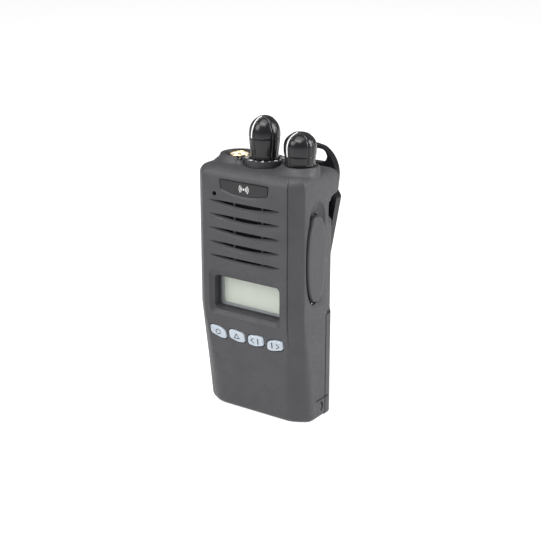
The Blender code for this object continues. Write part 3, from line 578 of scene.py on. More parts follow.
def key_matrix(index):
    """Plane of a key: local X along the row, local Y up the sloping face, local Z out of it."""
    origin = at((index - 1.5) * KEY_PITCH, front_setback(KEY_Z), KEY_Z)
    return Matrix.Translation(origin) @ Matrix.Rotation(KEY_LEAN + math.pi / 2, 4, "X")


def key_loft(index, rings):
    """A solid on a key's plane through (growth, height out of the face) rings."""
    place = key_matrix(index)
    return lofted([[place @ Vector((x, z, height)) for x, z in key_outline(index, grow)]
                   for grow, height in rings])


def rounded_box(left, right, low, high, radius, steps=8):
    """A rectangle with its four corners rounded."""
    return fillet([(left, low, radius), (right, low, radius), (right, high, radius), (left, high, radius)], steps)


def rounded_rectangle(half, low, high, radius):
    return rounded_box(-half, half, low, high, radius)


def arc_band(outer, inner, start, sweep, steps=12):
    """Outline of a bent strip between two radii, through an arc given in degrees."""
    angles = [math.radians(start + sweep * step / steps) for step in range(steps + 1)]
    return [(radius * math.cos(angle), radius * math.sin(angle))
            for radius, order in ((outer, 1), (inner, -1)) for angle in angles[::order]]


def facing(outline, depth):
    """Points of an outline seen from the front, at a depth."""
    return [at(x, depth, z) for x, z in outline]


def sideways(outline, x):
    """Points of an outline given as depth and height, at a distance to the right."""
    return [at(x, depth, z) for depth, z in outline]


def bore(axis, z, radius, length, sides=48):
    """An upright rod on one of the top axes."""
    return rod((axis.x, axis.y, z), radius, length, sides=sides)


def display_cutter():
    levels = [(0.0206, 0.0480, 0.0724, 0.0036, -0.0004), (0.0200, 0.0489, 0.0715, 0.0032, 0.0001),
              (0.0186, 0.0508, 0.0688, 0.0026, 0.0017), (0.0182, 0.0513, 0.0682, 0.0024, 0.0019),
              (0.0176, 0.0523, 0.0677, 0.0018, 0.0056), (0.0175, 0.0525, 0.0675, 0.0016, 0.0080)]
    return lofted([facing(rounded_rectangle(*level), depth) for *level, depth in levels])


def badge_outline(grow=0.0, lip=0.0):
    """Badge recess: straight top, sides that draw in and a sagging lower edge."""
    half_top, half_low = 0.0132 + grow, 0.0124 + grow
    top, low = 0.1146 + grow, 0.1103 - grow
    steps = 20
    bottom = []
    for step in range(steps + 1):
        x = -half_low + 2 * half_low * step / steps
        bottom.append((x, low - (0.0018 + lip) * (1 - (x / half_low) ** 2)))
    right, left = Vector((half_top, top)), Vector((-half_top, top))
    upper = rounded_corner(Vector(bottom[-1]), right, left, 0.0010)
    upper += rounded_corner(right, left, Vector(bottom[0]), 0.0010)
    return bottom + [(point.x, point.y) for point in upper]


def oval(half_width, half_height, sides=72, power=2.4):
    """A long oval, a little squarer than an ellipse."""
    points = []
    for step in range(sides):
        angle = 2 * math.pi * step / sides
        cosine, sine = math.cos(angle), math.sin(angle)
        points.append((half_width * math.copysign(abs(cosine) ** (2 / power), cosine),
                       half_height * math.copysign(abs(sine) ** (2 / power), sine)))
    return points


def mound(axis, rings):
    """A flared boss through (height, radius, shift towards the front left) circles."""
    sides = 72
    loops = []
    for z, radius, shift in rings:
        loops.append([Vector((axis.x - shift + radius * math.cos(2 * math.pi * step / sides),
                              axis.y - 0.5 * shift + radius * math.sin(2 * math.pi * step / sides), z))
                      for step in range(sides)])
    return lofted(loops)


def seam_cutters(side):
    """The battery seam on a side: a horizontal line, a release mark and the shallow panel above."""
    near, far = sorted((side * (HALF_WIDTH - 0.0010), side * (HALF_WIDTH + 0.002)))
    line = block((near, 0.0167, 0.0093), (far, 0.0272, 0.0098))
    crescent = arc_band(0.0029, 0.0019, -62, 124)
    half = len(crescent) // 2
    mark = prism([((0.0200 if index < half else 0.0198) + a, 0.0058 + b)
                  for index, (a, b) in enumerate(crescent)], near, far, "YZ")
    face = side * (HALF_WIDTH - 0.00010)
    outside = side * (HALF_WIDTH + 0.0005)
    panel = fillet([(0.0154, 0.0100, 0.0006), (0.0290, 0.0100, 0.0006), (0.0290, 0.0512, 0.0006),
                    (0.0150, 0.0512, 0.0012)], 4)
    wider = fillet([(0.0148, 0.0097, 0.0006), (0.0300, 0.0097, 0.0006), (0.0300, 0.0518, 0.0006),
                    (0.0144, 0.0518, 0.0012)], 4)
    shallow = lofted([sideways(panel, face), sideways(wider, outside)])
    return [line, mark, shallow]


def build_casing():
    mounds = (
        (VOLUME, [(0.1170, 0.0120, 0.0025), (0.1191, 0.0120, 0.0025), (0.1197, 0.0109, 0.0016),
                  (0.1203, 0.0100, 0.0009), (0.1211, 0.0092, 0.0003), (0.1219, 0.0086, 0.0),
                  (0.1222, 0.0084, 0.0), (0.1224, 0.0080, 0.0)]),
        (ANTENNA, [(0.1170, 0.0124, -0.0004), (0.1192, 0.0124, -0.0004), (0.1198, 0.0112, 0.0),
                   (0.1206, 0.0102, 0.0), (0.1216, 0.0094, 0.0), (0.1225, 0.0090, 0.0), (0.1228, 0.0087, 0.0)]),
        (STATUS, [(0.1180, 0.0030, 0.0), (0.1200, 0.0030, 0.0), (0.1206, 0.0024, 0.0), (0.1213, 0.0020, 0.0),
                  (0.1216, 0.0017, 0.0)]))
    steps = [(JOIN, mound(axis, rings)) for axis, rings in mounds]
    hollow = [body_ring(z, 0.0400, WALL, False) for z in (WALL, 0.020, 0.040, 0.046, 0.052, 0.058, 0.1055)]
    steps.append((CUT, lofted(hollow)))
    head = [body_ring(0.0950, HEAD_REAR, WALL, False)]
    for degrees in (0, 30, 55, 75, 90):
        angle = math.radians(degrees)
        head.append(body_ring(SHOULDER + (SHOULDER_RADIUS - WALL) * math.sin(angle), HEAD_REAR,
                              WALL + (SHOULDER_RADIUS - WALL) * (1 - math.cos(angle)), False))
    steps.append((CUT, lofted(head)))
    # room for the battery, then solid backing for the display, the cap pocket and the latch
    steps.append((CUT, block((-0.040, WING_DEPTH, -0.010), (0.040, 0.050, WING_TOP))))
    for low, high in (((-0.0218, 0.0012, 0.0472), (0.0218, 0.0062, 0.0728)),
                      ((0.0247, 0.0062, 0.0560), (0.0282, 0.0228, 0.1085)),
                      ((-0.0125, 0.0085, 0.0012), (0.0125, 0.0225, 0.0042))):
        steps.append((JOIN, block(low, high)))
    cutters = speaker_cutters()
    cutters.append(display_cutter())
    cutters.append(lofted([facing(badge_outline(0.0007, 0.0009), -0.0002), facing(badge_outline(), 0.0008)]))
    for index in range(4):
        cutters.append(key_loft(index, [(0.0008, 0.0004), (0.0004, -0.0002), (0.0003, -0.0006), (0.0003, -0.0060)]))
    cutters.append(rod(at(MICROPHONE.x, 0.001, MICROPHONE.z), 0.0011, 0.0050, "Y", 32))
    # accessory cap pocket, the finger scoop above it and the small one below
    depth, height = CAP.y - FRONT, CAP.z
    pocket = oval(0.0072 + 0.0006, 0.0202 + 0.0014)
    cutters.append(prism([(depth - 0.0003 + a, height - 0.0003 + b) for a, b in pocket],
                         HALF_WIDTH - 0.0027, HALF_WIDTH + 0.004, "YZ"))
    cutters.append(ball(at(HALF_WIDTH + 0.0026, depth + 0.0010, 0.0985), (0.0049, 0.0078, 0.0105)))
    cutters.append(ball(at(HALF_WIDTH + 0.0020, depth + 0.0006, 0.0602), (0.0028, 0.0062, 0.0045)))
    # talk button and side keys on the left
    for node in ("ptt_button", "side_key_upper", "side_key_lower"):
        low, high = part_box(node)
        edge = 0.0009 if node == "ptt_button" else 0.0004
        shape = rounded_box(low.y - FRONT + edge, high.y - FRONT - edge, low.z + edge, high.z - edge, 0.0008, 5)
        cutters.append(prism(shape, -0.032, -0.020, "YZ"))
    # top openings
    cutters += [bore(SELECTOR, 0.1224, 0.0096, 0.006, 96), bore(SELECTOR, 0.118, 0.0046, 0.010),
                bore(VOLUME, 0.120, 0.0046, 0.012),
                turned([(0.0, 0.1240), (0.0078, 0.1240), (0.0078, 0.1221), (0.0, 0.1221)], VOLUME),
                bore(ANTENNA, 0.118, 0.0086, 0.014, 96), bore(STATUS, 0.119, 0.0012, 0.008, 32)]
    # latch opening in the base
    cutters.append(block((-0.0100, 0.0105, -0.001), (0.0100, 0.030, 0.0024)))
    for side in (-1, 1):
        cutters += seam_cutters(side)
    steps += [(CUT, cutter) for cutter in cutters]
    casing = combined(casing_form(), steps)
    add_piece("casing", casing, HOUSING, "radio", ("front_case",), angle=28)


# ---------------------------------------------------------------- front of the radio
def build_front():
    NODES["name_badge"].data.materials[0] = BADGE
    build_emblem()
    build_display()
    build_keys()
    # upright ribs behind the slots
    tops = [SLOT_TOP - index * SLOT_PITCH for index in range(SLOT_COUNT)]
    ribs = [block((x - 0.0005, 0.00194, top - 0.0032), (x + 0.0005, 0.0023, top + 0.0006), 0.0001, 1)
            for x in (-0.0066, 0.0088) for top in tops]
    add_piece("grille_ribs", gathered(ribs), HOUSING, "radio")


def build_emblem():
    """A plain signal mark on the badge: a dot between spreading arcs."""
    depth = 0.00022
    marks = [rod(at(0.0, depth, MARK_Z), 0.00042, 2 * LABEL_LIFT, "Y", 32)]
    for side in (-1, 1):
        for radius in (0.0011, 0.0018, 0.0025):
            outline = [(side * x, MARK_Z + z) for x, z in arc_band(radius + 0.00013, radius - 0.00013, -42, 84)]
            marks.append(prism(outline, depth - LABEL_LIFT, depth + LABEL_LIFT))
    add_piece("badge_mark", gathered(marks), WHITE_PRINT, "radio")


def gathered(parts):
    """Several separate solids in one mesh."""
    whole = bmesh.new()
    for part in parts:
        mesh = meshed(part, "part")
        whole.from_mesh(mesh)
        bpy.data.meshes.remove(mesh)
    return whole


def framed(outer, inner, low, high):
    """A flat frame between two outlines, seen from the front."""
    return combined(prism(outer, low, high), [(CUT, prism(inner, low - 0.001, high + 0.001))])


def build_display():
    low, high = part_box("display_window")
    front, back = low.y - FRONT, high.y - FRONT
    pane = rounded_rectangle(high.x + 0.0005, low.z - 0.0003, high.z + 0.0003, 0.0014)
    smaller = rounded_rectangle(high.x + 0.0003, low.z - 0.0001, high.z + 0.0001, 0.0012)
    window = lofted([facing(smaller, front), facing(pane, front + 0.0002), facing(pane, back)])
    add_piece("window_pane", window, WINDOW, "radio", ("display_window",))
    seal = framed(rounded_rectangle(0.0175, 0.0525, 0.0675, 0.0016), rounded_rectangle(0.0168, 0.0531, 0.0668, 0.0013),
                  front - 0.0005, front - 0.00005)
    add_piece("window_seal", seal, RING_BLACK, "radio")
    low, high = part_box("display_panel")
    film_front = high.y - FRONT - 0.0004
    outer = rounded_rectangle(high.x, low.z, high.z, 0.0010)
    film = prism(outer, film_front, high.y - FRONT)
    add_piece("display_film", film, LCD, "radio", ("display_panel",))
    for name, half, bottom, top, radius, near, far in (
            ("gasket_front", 0.0171, 0.0529, 0.0671, 0.0015, back + 0.00005, back + 0.0006),
            ("gasket_rear", 0.0166, 0.0535, 0.0665, 0.0015, back + 0.00065, film_front - 0.00005)):
        ring = framed(outer, rounded_rectangle(half, bottom, top, radius), near, far)
        add_piece("display_" + name, ring, LCD_EDGE, "radio")


def build_keys():
    bodies = ("key_one", "key_two", "key_three", "key_four")
    for index, body in enumerate(bodies):
        rings = [(-0.0001, -0.0028), (0.0, -0.0026), (0.0, 0.00005), (-0.00008, 0.00030), (-0.00026, 0.00048),
                 (-0.00055, 0.00058), (-0.0010, 0.0006)]
        add_piece(f"soft_key_{index + 1}", key_loft(index, rings), KEY_SATIN, body, (f"key_{index + 1}",))
        add_piece(f"key_mark_{index + 1}", key_mark(index), KEY_PRINT, body)


def key_mark(index):
    """A plain printed mark: a ring, a triangle, and two arrowheads beside short bars."""
    thin = 0.00020
    if index == 0:
        outlines = [arc_band(0.0012 + thin, 0.0012 - thin, 90, 352.8, 40)]
    elif index == 1:
        outlines = [bar((-0.0014, -0.0011), (0.0, 0.0013), thin), bar((0.0, 0.0013), (0.0014, -0.0011), thin),
                    bar((-0.0014, -0.0011), (0.0014, -0.0011), thin)]
    else:
        way = -1 if index == 2 else 1
        outlines = [bar((way * 0.0010, 0.0012), (way * 0.0025, 0.0), thin),
                    bar((way * 0.0025, 0.0), (way * 0.0010, -0.0012), thin)]
        outlines += [bar((way * -0.0014, -0.0012), (way * -0.0014, 0.0012), 0.0003)]
    place = key_matrix(index)
    solids = []
    for outline in outlines:
        solids.append(lofted([[place @ Vector((x, z, height)) for x, z in outline] for height in (0.00055, 0.00063)]))
    return gathered(solids)


def bar(start, end, thin):
    """A straight stroke between two points."""
    start, end = Vector(start), Vector(end)
    along = (end - start).normalized() * thin
    across = Vector((-along.y, along.x))
    return [start - along + across, start - along - across, end + along - across, end + along + across]


# ---------------------------------------------------------------- knobs and top fittings
POINTER_ANGLE = math.radians(-107)
RIB_HALF = 0.00085               # half the width of a raised rib


def knob_radius(share, skirt, widest):
    """Radius of a knob at a share of its height: a bullet that narrows to its skirt."""
    if share > 0.52:
        return widest * max(0.0, 1 - ((share - 0.52) / 0.48) ** 2.35) ** 0.5
    return skirt + (widest - skirt) * ease(share / 0.50)


def knob_solid(axis, base, top, skirt, widest, seam):
    """Bullet-shaped knob with four raised ribs that meet at the crown."""
    height = top - base
    shares = [1.0, 0.9995, 0.998, 0.994, 0.987] + [0.976 - 0.976 * step / 42 for step in range(43)]
    profile = []
    for share in shares:
        radius = knob_radius(share, skirt, widest)
        if share < seam:
            radius -= 0.00012
        if abs(share - seam) < 0.012:
            radius -= 0.00026
        profile.append((radius, base + height * share))
    bore = 0.0033
    profile += [(bore, base), (bore, top - 0.0035), (0.0, top - 0.0035)]
    bm = turned(profile, axis, 192)
    for vert in bm.verts:
        x, y = vert.co.x - axis.x, vert.co.y - axis.y
        radius = math.hypot(x, y)
        share = (vert.co.z - base) / height
        if radius < 0.0001 or radius < bore + 0.0001 and share < 0.85:
            continue
        turn = (math.atan2(y, x) - POINTER_ANGLE + math.pi / 4) % (math.pi / 2) - math.pi / 4
        across = abs(radius * math.sin(turn))
        valley = ease((across - RIB_HALF) / 0.00028)
        crevice = 1 - ease(abs(across - RIB_HALF - 0.00035) / 0.00032)
        depth = (0.00022 * valley + 0.00022 * crevice) * ease((radius - 0.0007) / 0.0010)
        depth *= ease(share / 0.06)
        slope = ease((share - 0.60) / 0.40)
        vert.co.z -= depth * slope
        vert.co.x -= x / radius * depth * (1 - 0.7 * slope)
        vert.co.y -= y / radius * depth * (1 - 0.7 * slope)
        if radius < 0.0009:
            vert.co.z -= 0.00025 * (1 - ease(radius / 0.0009))
    return bm


def pointer_solid(axis, base, top, skirt, widest, seam):
    """White line laid along a knob's rib from the crown down to its seam."""
    height = top - base
    bm = bmesh.new()
    steps = 40
    direction = Vector((math.cos(POINTER_ANGLE), math.sin(POINTER_ANGLE), 0.0))
    across = Vector((-direction.y, direction.x, 0.0))
    path = []
    for step in range(steps + 1):
        share = 0.992 - (0.992 - seam - 0.02) * (step / steps) ** 1.3
        path.append(Vector((knob_radius(share, skirt, widest), base + height * share)))
    loops = []
    for index, spot in enumerate(path):
        along = path[min(index + 1, steps)] - path[max(index - 1, 0)]
        outwards = Vector((-along.y, along.x)).normalized()
        if outwards.x < 0:
            outwards = -outwards
        points = []
        for lift, half in ((0.00005, 0.00038), (0.00005, -0.00038), (-0.0003, -0.00042), (-0.0003, 0.00042)):
            place = spot + outwards * lift
            points.append(bm.verts.new(Vector((axis.x, axis.y, place.y)) + direction * place.x + across * half))
        loops.append([bm.edges.new((points[i - 1], points[i])) for i in range(4)])
    for first, second in zip(loops, loops[1:]):
        bmesh.ops.bridge_loops(bm, edges=first + second)
    for end in (loops[0], loops[-1]):
        bmesh.ops.contextual_create(bm, geom=end)
    bmesh.ops.recalc_face_normals(bm, faces=bm.faces)
    return bm


def build_knobs():
    for name, axis, body, skirt, widest, seam in (("selector", SELECTOR, "selector", 0.0066, 0.0074, 0.48),
                                                  ("volume", VOLUME, "volume", 0.0071, 0.0076, 0.27)):
        low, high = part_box(name + "_knob")
        solid = knob_solid(axis, low.z, high.z, skirt, widest, seam)
        add_piece(name + "_grip", solid, KNOB_GLOSS, body, (name + "_knob",), angle=40)
        add_piece(name + "_pointer", pointer_solid(axis, low.z, high.z, skirt, widest, seam), WHITE_PRINT, body)


def number_solid(text, radius, angle, height, z):
    """A numeral made flat, then stood round the collar with its foot outwards."""
    curve = bpy.data.curves.new("numeral", "FONT")
    curve.body = text
    curve.size = height * 1.4
    curve.align_x = "CENTER"
    curve.align_y = "CENTER"
    curve.extrude = 0.00003
    curve.offset = 0.00010
    curve.resolution_u = 4
    bm = curve_solid(curve)
    place = Matrix.Translation((SELECTOR.x, SELECTOR.y, z)) @ Matrix.Rotation(angle, 4, "Z") @ Matrix.Translation(
        (radius, 0, 0)) @ Matrix.Rotation(math.pi / 2, 4, "Z")
    bmesh.ops.transform(bm, matrix=place, verts=bm.verts)
    return bm


def build_collar():
    low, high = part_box("number_ring")
    top, wide = high.z, (high.x - low.x) / 2
    profile = [(wide - 0.0003, top), (wide - 0.00018, top - 0.00003), (wide - 0.00006, top - 0.00012),
               (wide, top - 0.0003), (wide, low.z), (0.0050, low.z), (0.0050, top - 0.0010), (0.0068, top - 0.0010),
               (0.0068, top - 0.0002), (0.0070, top)]
    add_piece("number_collar", turned(profile, SELECTOR, 128), RING_BLACK, "radio",
              ("number_ring",))
    marks = []
    for position in range(16):
        angle = POINTER_ANGLE + math.radians(22.5 * (position + 1))
        if position % 2:
            marks.append(number_solid(str(position + 1), 0.0081, angle, 0.0019, top + 0.00003))
        else:
            spot = Vector((SELECTOR.x + 0.0081 * math.cos(angle), SELECTOR.y + 0.0081 * math.sin(angle),
                           top + 0.00003))
            marks.append(rod(spot, 0.00034, 0.00006, sides=20))
    add_piece("collar_numbers", gathered(marks), WHITE_PRINT, "radio")


def build_antenna_fittings():
    rim = [(0.0070, 0.1229), (0.0074, 0.1231), (0.0079, 0.1230), (0.0083, 0.1226), (0.0085, 0.1219),
           (0.0085, 0.1165), (0.0056, 0.1165), (0.0056, 0.1182), (0.0066, 0.1184), (0.0068, 0.1215)]
    solid = combined(turned(rim, ANTENNA, 128), [
        (CUT, bore(SELECTOR, 0.120, 0.0096, 0.010, 96)), (CUT, bore(STATUS, 0.120, 0.0020, 0.010, 32))])
    add_piece("antenna_collar", solid, HOUSING, "radio", ("antenna_rim",))
    thread = [(0.0042, 0.1224), (0.0044, 0.1226), (0.0046, 0.1224)]
    for turn in range(9):
        z = 0.1220 - 0.00038 * turn
        thread += [(0.00470, z), (0.00445, z - 0.00019)]
    thread += [(0.0046, 0.1184), (0.0052, 0.1183), (0.0052, 0.1145), (0.0033, 0.1145), (0.0033, 0.1218),
               (0.0042, 0.1218)]
    add_piece("socket_sleeve", turned(thread, ANTENNA), GOLD, "radio", ("antenna_socket",))
    face = [(0.00415, 0.1223), (0.00415, 0.1219), (0.00325, 0.1217), (0.00325, 0.1150), (0.0011, 0.1150),
            (0.0011, 0.1216), (0.0018, 0.1219), (0.0020, 0.1223)]
    disc = turned(face, ANTENNA)
    slots = []
    for quarter in range(4):
        outline = [(ANTENNA.x + x, ANTENNA.y - FRONT + y)
                   for x, y in arc_band(0.0033, 0.0027, 90 * quarter + 15, 60)]
        slots.append((CUT, prism(outline, 0.1216, 0.1228, "XY")))
    add_piece("socket_insulator", combined(disc, slots), CREAM, "radio", ("antenna_insulator",))
    contact = [(0.0, 0.1221), (0.0004, 0.1225), (0.0007, 0.1224), (0.0008, 0.1220), (0.0008, 0.1146), (0.0, 0.1146)]
    add_piece("socket_pin", turned(contact, ANTENNA, 40), GOLD, "radio", ("antenna_contact",))
    lens = [(0.0, 0.1226), (0.0004, 0.12255), (0.0008, 0.1223), (0.0010, 0.1219), (0.0011, 0.1213),
            (0.0011, 0.1170), (0.0, 0.1170)]
    add_piece("status_dome", turned(lens, STATUS, 48), LENS, "radio", ("status_lens",))


# ---------------------------------------------------------------- sides
def build_cap():
    low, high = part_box("accessory_cap")
    depth, height = CAP.y - FRONT, CAP.z
    half_depth, half_height = (high.y - low.y) / 2, (high.z - low.z) / 2
    rings = []
    for x, shrink in ((low.x, 0.0003), (low.x + 0.0002, 0.0), (high.x - 0.0007, 0.0), (high.x - 0.0004, 0.00007),
                      (high.x - 0.0002, 0.00022), (high.x - 0.00008, 0.00042), (high.x - 0.00003, 0.0008),
                      (high.x - 0.00001, 0.0020), (high.x, 0.0040)):
        outline = oval(half_depth - shrink, half_height - shrink)
        rings.append(sideways([(depth + a, height + b) for a, b in outline], x))
    add_piece("cap_cover", lofted(rings), CAP_FINISH, "radio", ("accessory_cap",))
    refined("cap_catch", "cap_fastener", STEEL, 0.0001)


def build_side_buttons():
    for node, name, ribs in (("ptt_button", "talk_bar", 7), ("side_key_upper", "upper_key_pad", 3),
                             ("side_key_lower", "lower_key_pad", 3)):
        low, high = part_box(node)
        near, far = low.y - FRONT, high.y - FRONT
        edge = 0.0012 if node == "ptt_button" else 0.0007
        flange = block((high.x - 0.0010, near, low.z), (high.x, far, high.z), 0.0002, 2)
        rim = [near + edge, far - edge, low.z + edge, high.z - edge]
        levels = []
        for x, shrink in ((high.x - 0.0004, 0.0), (low.x + 0.0007, 0.0), (low.x + 0.0004, 0.0001),
                          (low.x + 0.0002, 0.0003), (low.x + 0.0001, 0.0007)):
            outline = rounded_box(rim[0] + shrink, rim[1] - shrink, rim[2] + shrink, rim[3] - shrink, 0.0012, 6)
            levels.append(sideways(outline, x))
        steps = [(JOIN, lofted(levels))]
        pitch = (rim[3] - rim[2]) / (ribs + 1)
        for rib in range(ribs):
            z = rim[2] + pitch * (rib + 1)
            groove = rod(at(low.x - 0.00015, (near + far) / 2, z), 0.00045, rim[1] - rim[0] - 0.0028, "Y", 20)
            steps.append((CUT, groove))
        add_piece(name, combined(flange, steps), RUBBER, NODES[node]["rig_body"], (node,))


# ---------------------------------------------------------------- battery
BATTERY_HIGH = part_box("battery_case")[1]
BATTERY_REAR = BATTERY_HIGH.y - FRONT
BATTERY_TOP = BATTERY_HIGH.z


def battery_ring(z, inset=0.0):
    """Outline of the battery at a height: full-width wings low down, chamfered rear corners."""
    wing = 0.0 if z > WING_TOP - 0.0005 else HALF_WIDTH - 0.0270
    side = 0.0270 + wing - inset
    wing_corner = Vector((side, 0.0284))
    shoulder = Vector((0.0268 - inset + 0.2 * wing, 0.0312))
    chamfer = Vector((0.0242 - inset, 0.0354 - inset))
    back = Vector((0.0205 - inset, BATTERY_REAR - inset))
    front = Vector((side, 0.0250))
    points = [front]
    points += rounded_corner(front, wing_corner, shoulder, 0.0007, 4)
    points += rounded_corner(wing_corner, shoulder, chamfer, 0.0009, 4)
    points += rounded_corner(shoulder, chamfer, back, 0.0012, 4)
    points += rounded_corner(chamfer, back, Vector((0.0, BATTERY_REAR - inset)), 0.0010, 4)
    return mirrored(points, z)


def build_battery():
    levels = [(0.0, 0.0012), (0.0002, 0.0007), (0.0006, 0.0003), (0.0012, 0.0), (0.0200, 0.0), (0.0507, 0.0),
              (0.0510, 0.0), (0.0800, 0.0), (BATTERY_TOP - 0.0022, 0.0), (BATTERY_TOP - 0.0012, 0.0003),
              (BATTERY_TOP - 0.0004, 0.0009), (BATTERY_TOP, 0.0018)]
    case = lofted([battery_ring(z, inset) for z, inset in levels])
    steps = [(CUT, block((-0.0274, 0.0200, -0.010), (0.0274, 0.0278, 0.110))),
             (CUT, block((-0.0320, 0.0200, 0.0510), (0.0320, 0.0262, 0.110)))]
    inner = []
    for z, inset in ((0.0018, 0.0016), (0.0480, 0.0016), (0.0930, 0.0016), (0.0939, 0.0022)):
        half = 0.0270 - inset
        right = [(half, 0.0200), (half, 0.0305), (0.0236 - inset, 0.0350 - inset),
                 (0.0200 - inset, BATTERY_REAR - inset)]
        inner.append(mirrored(right, z))
    steps.append((CUT, lofted(inner)))
    # blank label panel and finger grooves on the back
    label = rounded_rectangle(0.0172, 0.0150, 0.0455, 0.0015)
    deeper = rounded_rectangle(0.0170, 0.0152, 0.0453, 0.0013)
    steps.append((CUT, lofted([facing(label, BATTERY_REAR + 0.0002), facing(deeper, BATTERY_REAR - 0.00025)])))
    for index in range(5):
        groove = rod(at(0.0, BATTERY_REAR + 0.00035, 0.0040 + 0.0018 * index), 0.0006, 0.0300, "X", 20)
        steps.append((CUT, groove))
    for side in (-1, 1):
        line, mark, shallow = seam_cutters(side)
        mark.free()
        steps += [(CUT, line), (CUT, shallow)]
    add_piece("battery_shell", combined(case, steps), HOUSING, "radio", ("battery_case",), angle=28)


# ---------------------------------------------------------------- belt clip
def clip_side_points():
    """Side view of the clip arm as depth and height, rear face down and front face up."""
    rear = [(0.0394, 0.0540), (0.0418, 0.0617), (0.0539, 0.0984), (0.0562, 0.1040), (0.0575, 0.1080),
            (0.0583, 0.1180), (0.0584, 0.1215)]
    front = [(0.0566, 0.1230), (0.0548, 0.1224), (0.0543, 0.1180), (0.0535, 0.1084), (0.0522, 0.1050),
             (0.0498, 0.0990), (0.0384, 0.0640), (0.0373, 0.0590), (0.0374, 0.0550), (0.0384, 0.0537)]
    return rear, front


def clip_side_outline():
    rear, front = clip_side_points()
    radii = {(0.0562, 0.1040): 0.010, (0.0575, 0.1080): 0.012, (0.0584, 0.1215): 0.0009, (0.0566, 0.1230): 0.0008,
             (0.0548, 0.1224): 0.0008, (0.0535, 0.1084): 0.008, (0.0522, 0.1050): 0.008, (0.0373, 0.0590): 0.004,
             (0.0384, 0.0640): 0.004, (0.0394, 0.0540): 0.0006, (0.0384, 0.0537): 0.0004}
    return fillet([(*point, radii.get(point, 0.0)) for point in rear + front], 6)


def clip_front_outline(inset=0.0):
    """Front view of the clip arm: wide arm with rounded shoulders under a round tab."""
    radius, height, wide = 0.0150 - inset, 0.1080, 0.0180 - inset
    right = [(0.0125 - inset, 0.0530 + inset, 0.0015), (0.0152 - inset, 0.0560 + inset, 0.0030),
             (wide, 0.0700, 0.0100), (wide, 0.0995, 0.0022), (radius + 0.0004, 0.1022, 0.0010)]
    tab = [(radius * math.cos(math.pi * step / 40), height + radius * math.sin(math.pi * step / 40), 0.0)
           for step in range(41)]
    left = [(-x, z, corner) for x, z, corner in reversed(right)]
    return fillet(right + tab + left, 6)


def clip_layer(inset, from_front, thickness, low, high):
    """A layer of the clip arm under one of its faces, for sinking a panel into it."""
    rear, front = clip_side_points()
    face = [Vector(point) for point in (front if from_front else rear) if low <= point[1] <= high]
    face.sort(key=lambda point: point.y)
    push = 1 if from_front else -1
    outer = [(point.x - push * 0.0030, point.y) for point in face]
    inner = [(point.x + push * thickness, point.y) for point in face]
    layer = prism(outer + inner[::-1], -0.030, 0.030, "YZ")
    return combined(layer, [(KEEP, prism(clip_front_outline(inset), 0.030, 0.070))])


def build_clip():
    joint = next(j for j in frame["joints"] if j["name"] == "clip_swing")
    pivot = Vector(joint["pos_m"])
    depth, height = pivot.y - FRONT, pivot.z
    arm = prism(clip_side_outline(), -0.020, 0.020, "YZ")
    steps = [(KEEP, prism(clip_front_outline(), 0.030, 0.070))]
    slot = rounded_box(-0.0093, 0.0093, 0.1140, 0.1205, 0.0032, 10)
    steps.append((CUT, clip_layer(0.0012, True, 0.0004, 0.1040, 0.1235)))
    steps.append((CUT, clip_layer(0.0024, False, 0.0005, 0.0560, 0.0990)))
    steps.append((CUT, prism(slot, 0.030, 0.070)))
    for side in (-1, 1):
        low, high = sorted((side * 0.0042, side * 0.0120))
        knuckle = fillet([(depth - 0.0033, height - 0.0033, 0.0032), (depth + 0.0055, height - 0.0033, 0),
                          (depth + 0.0055, height + 0.0033, 0), (depth - 0.0033, height + 0.0033, 0.0032)], 8)
        steps.append((JOIN, prism(knuckle, low, high, "YZ")))
    steps.append((CUT, rod(pivot, 0.0015, 0.030, "X", 40)))
    lever = add_piece("clip_arm_shell", combined(arm, steps), CLIP_GLOSS, "clip_arm", ("clip_lever",))
    soften(lever, 0.00035, 3, 42)
    refined("clip_bracket", "clip_plate", STEEL, 0.00012)
    refined("clip_pin", "clip_axle", STEEL, 0.0002)
    build_screws()
    build_spring(pivot)


def build_screws():
    for node in ("clip_screw_left", "clip_screw_right"):
        low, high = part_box(node)
        spot = (low + high) / 2
        head_rear = high.y
        solid = rod((spot.x, head_rear - 0.0008, spot.z), 0.0021, 0.0016, "Y")
        rims = [edge for edge in solid.edges if len(edge.link_faces) == 2 and
                edge.calc_face_angle() > 1.0 and all(v.co.y > head_rear - 0.0004 for v in edge.verts)]
        bmesh.ops.bevel(solid, geom=rims, offset=0.0005, segments=4, affect="EDGES", profile=0.5, material=-1)
        steps = [(JOIN, rod((spot.x, low.y + 0.0013, spot.z), 0.0010, 0.0026, "Y", 32))]
        for turn in (0, 1):
            half = (0.00125, 0.00025) if turn else (0.00025, 0.00125)
            steps.append((CUT, block((spot.x - half[0], head_rear - FRONT - 0.0007, spot.z - half[1]),
                                              (spot.x + half[0], head_rear - FRONT + 0.001, spot.z + half[1]))))
        add_piece(node + "_head", combined(solid, steps), STEEL, "radio", (node,))


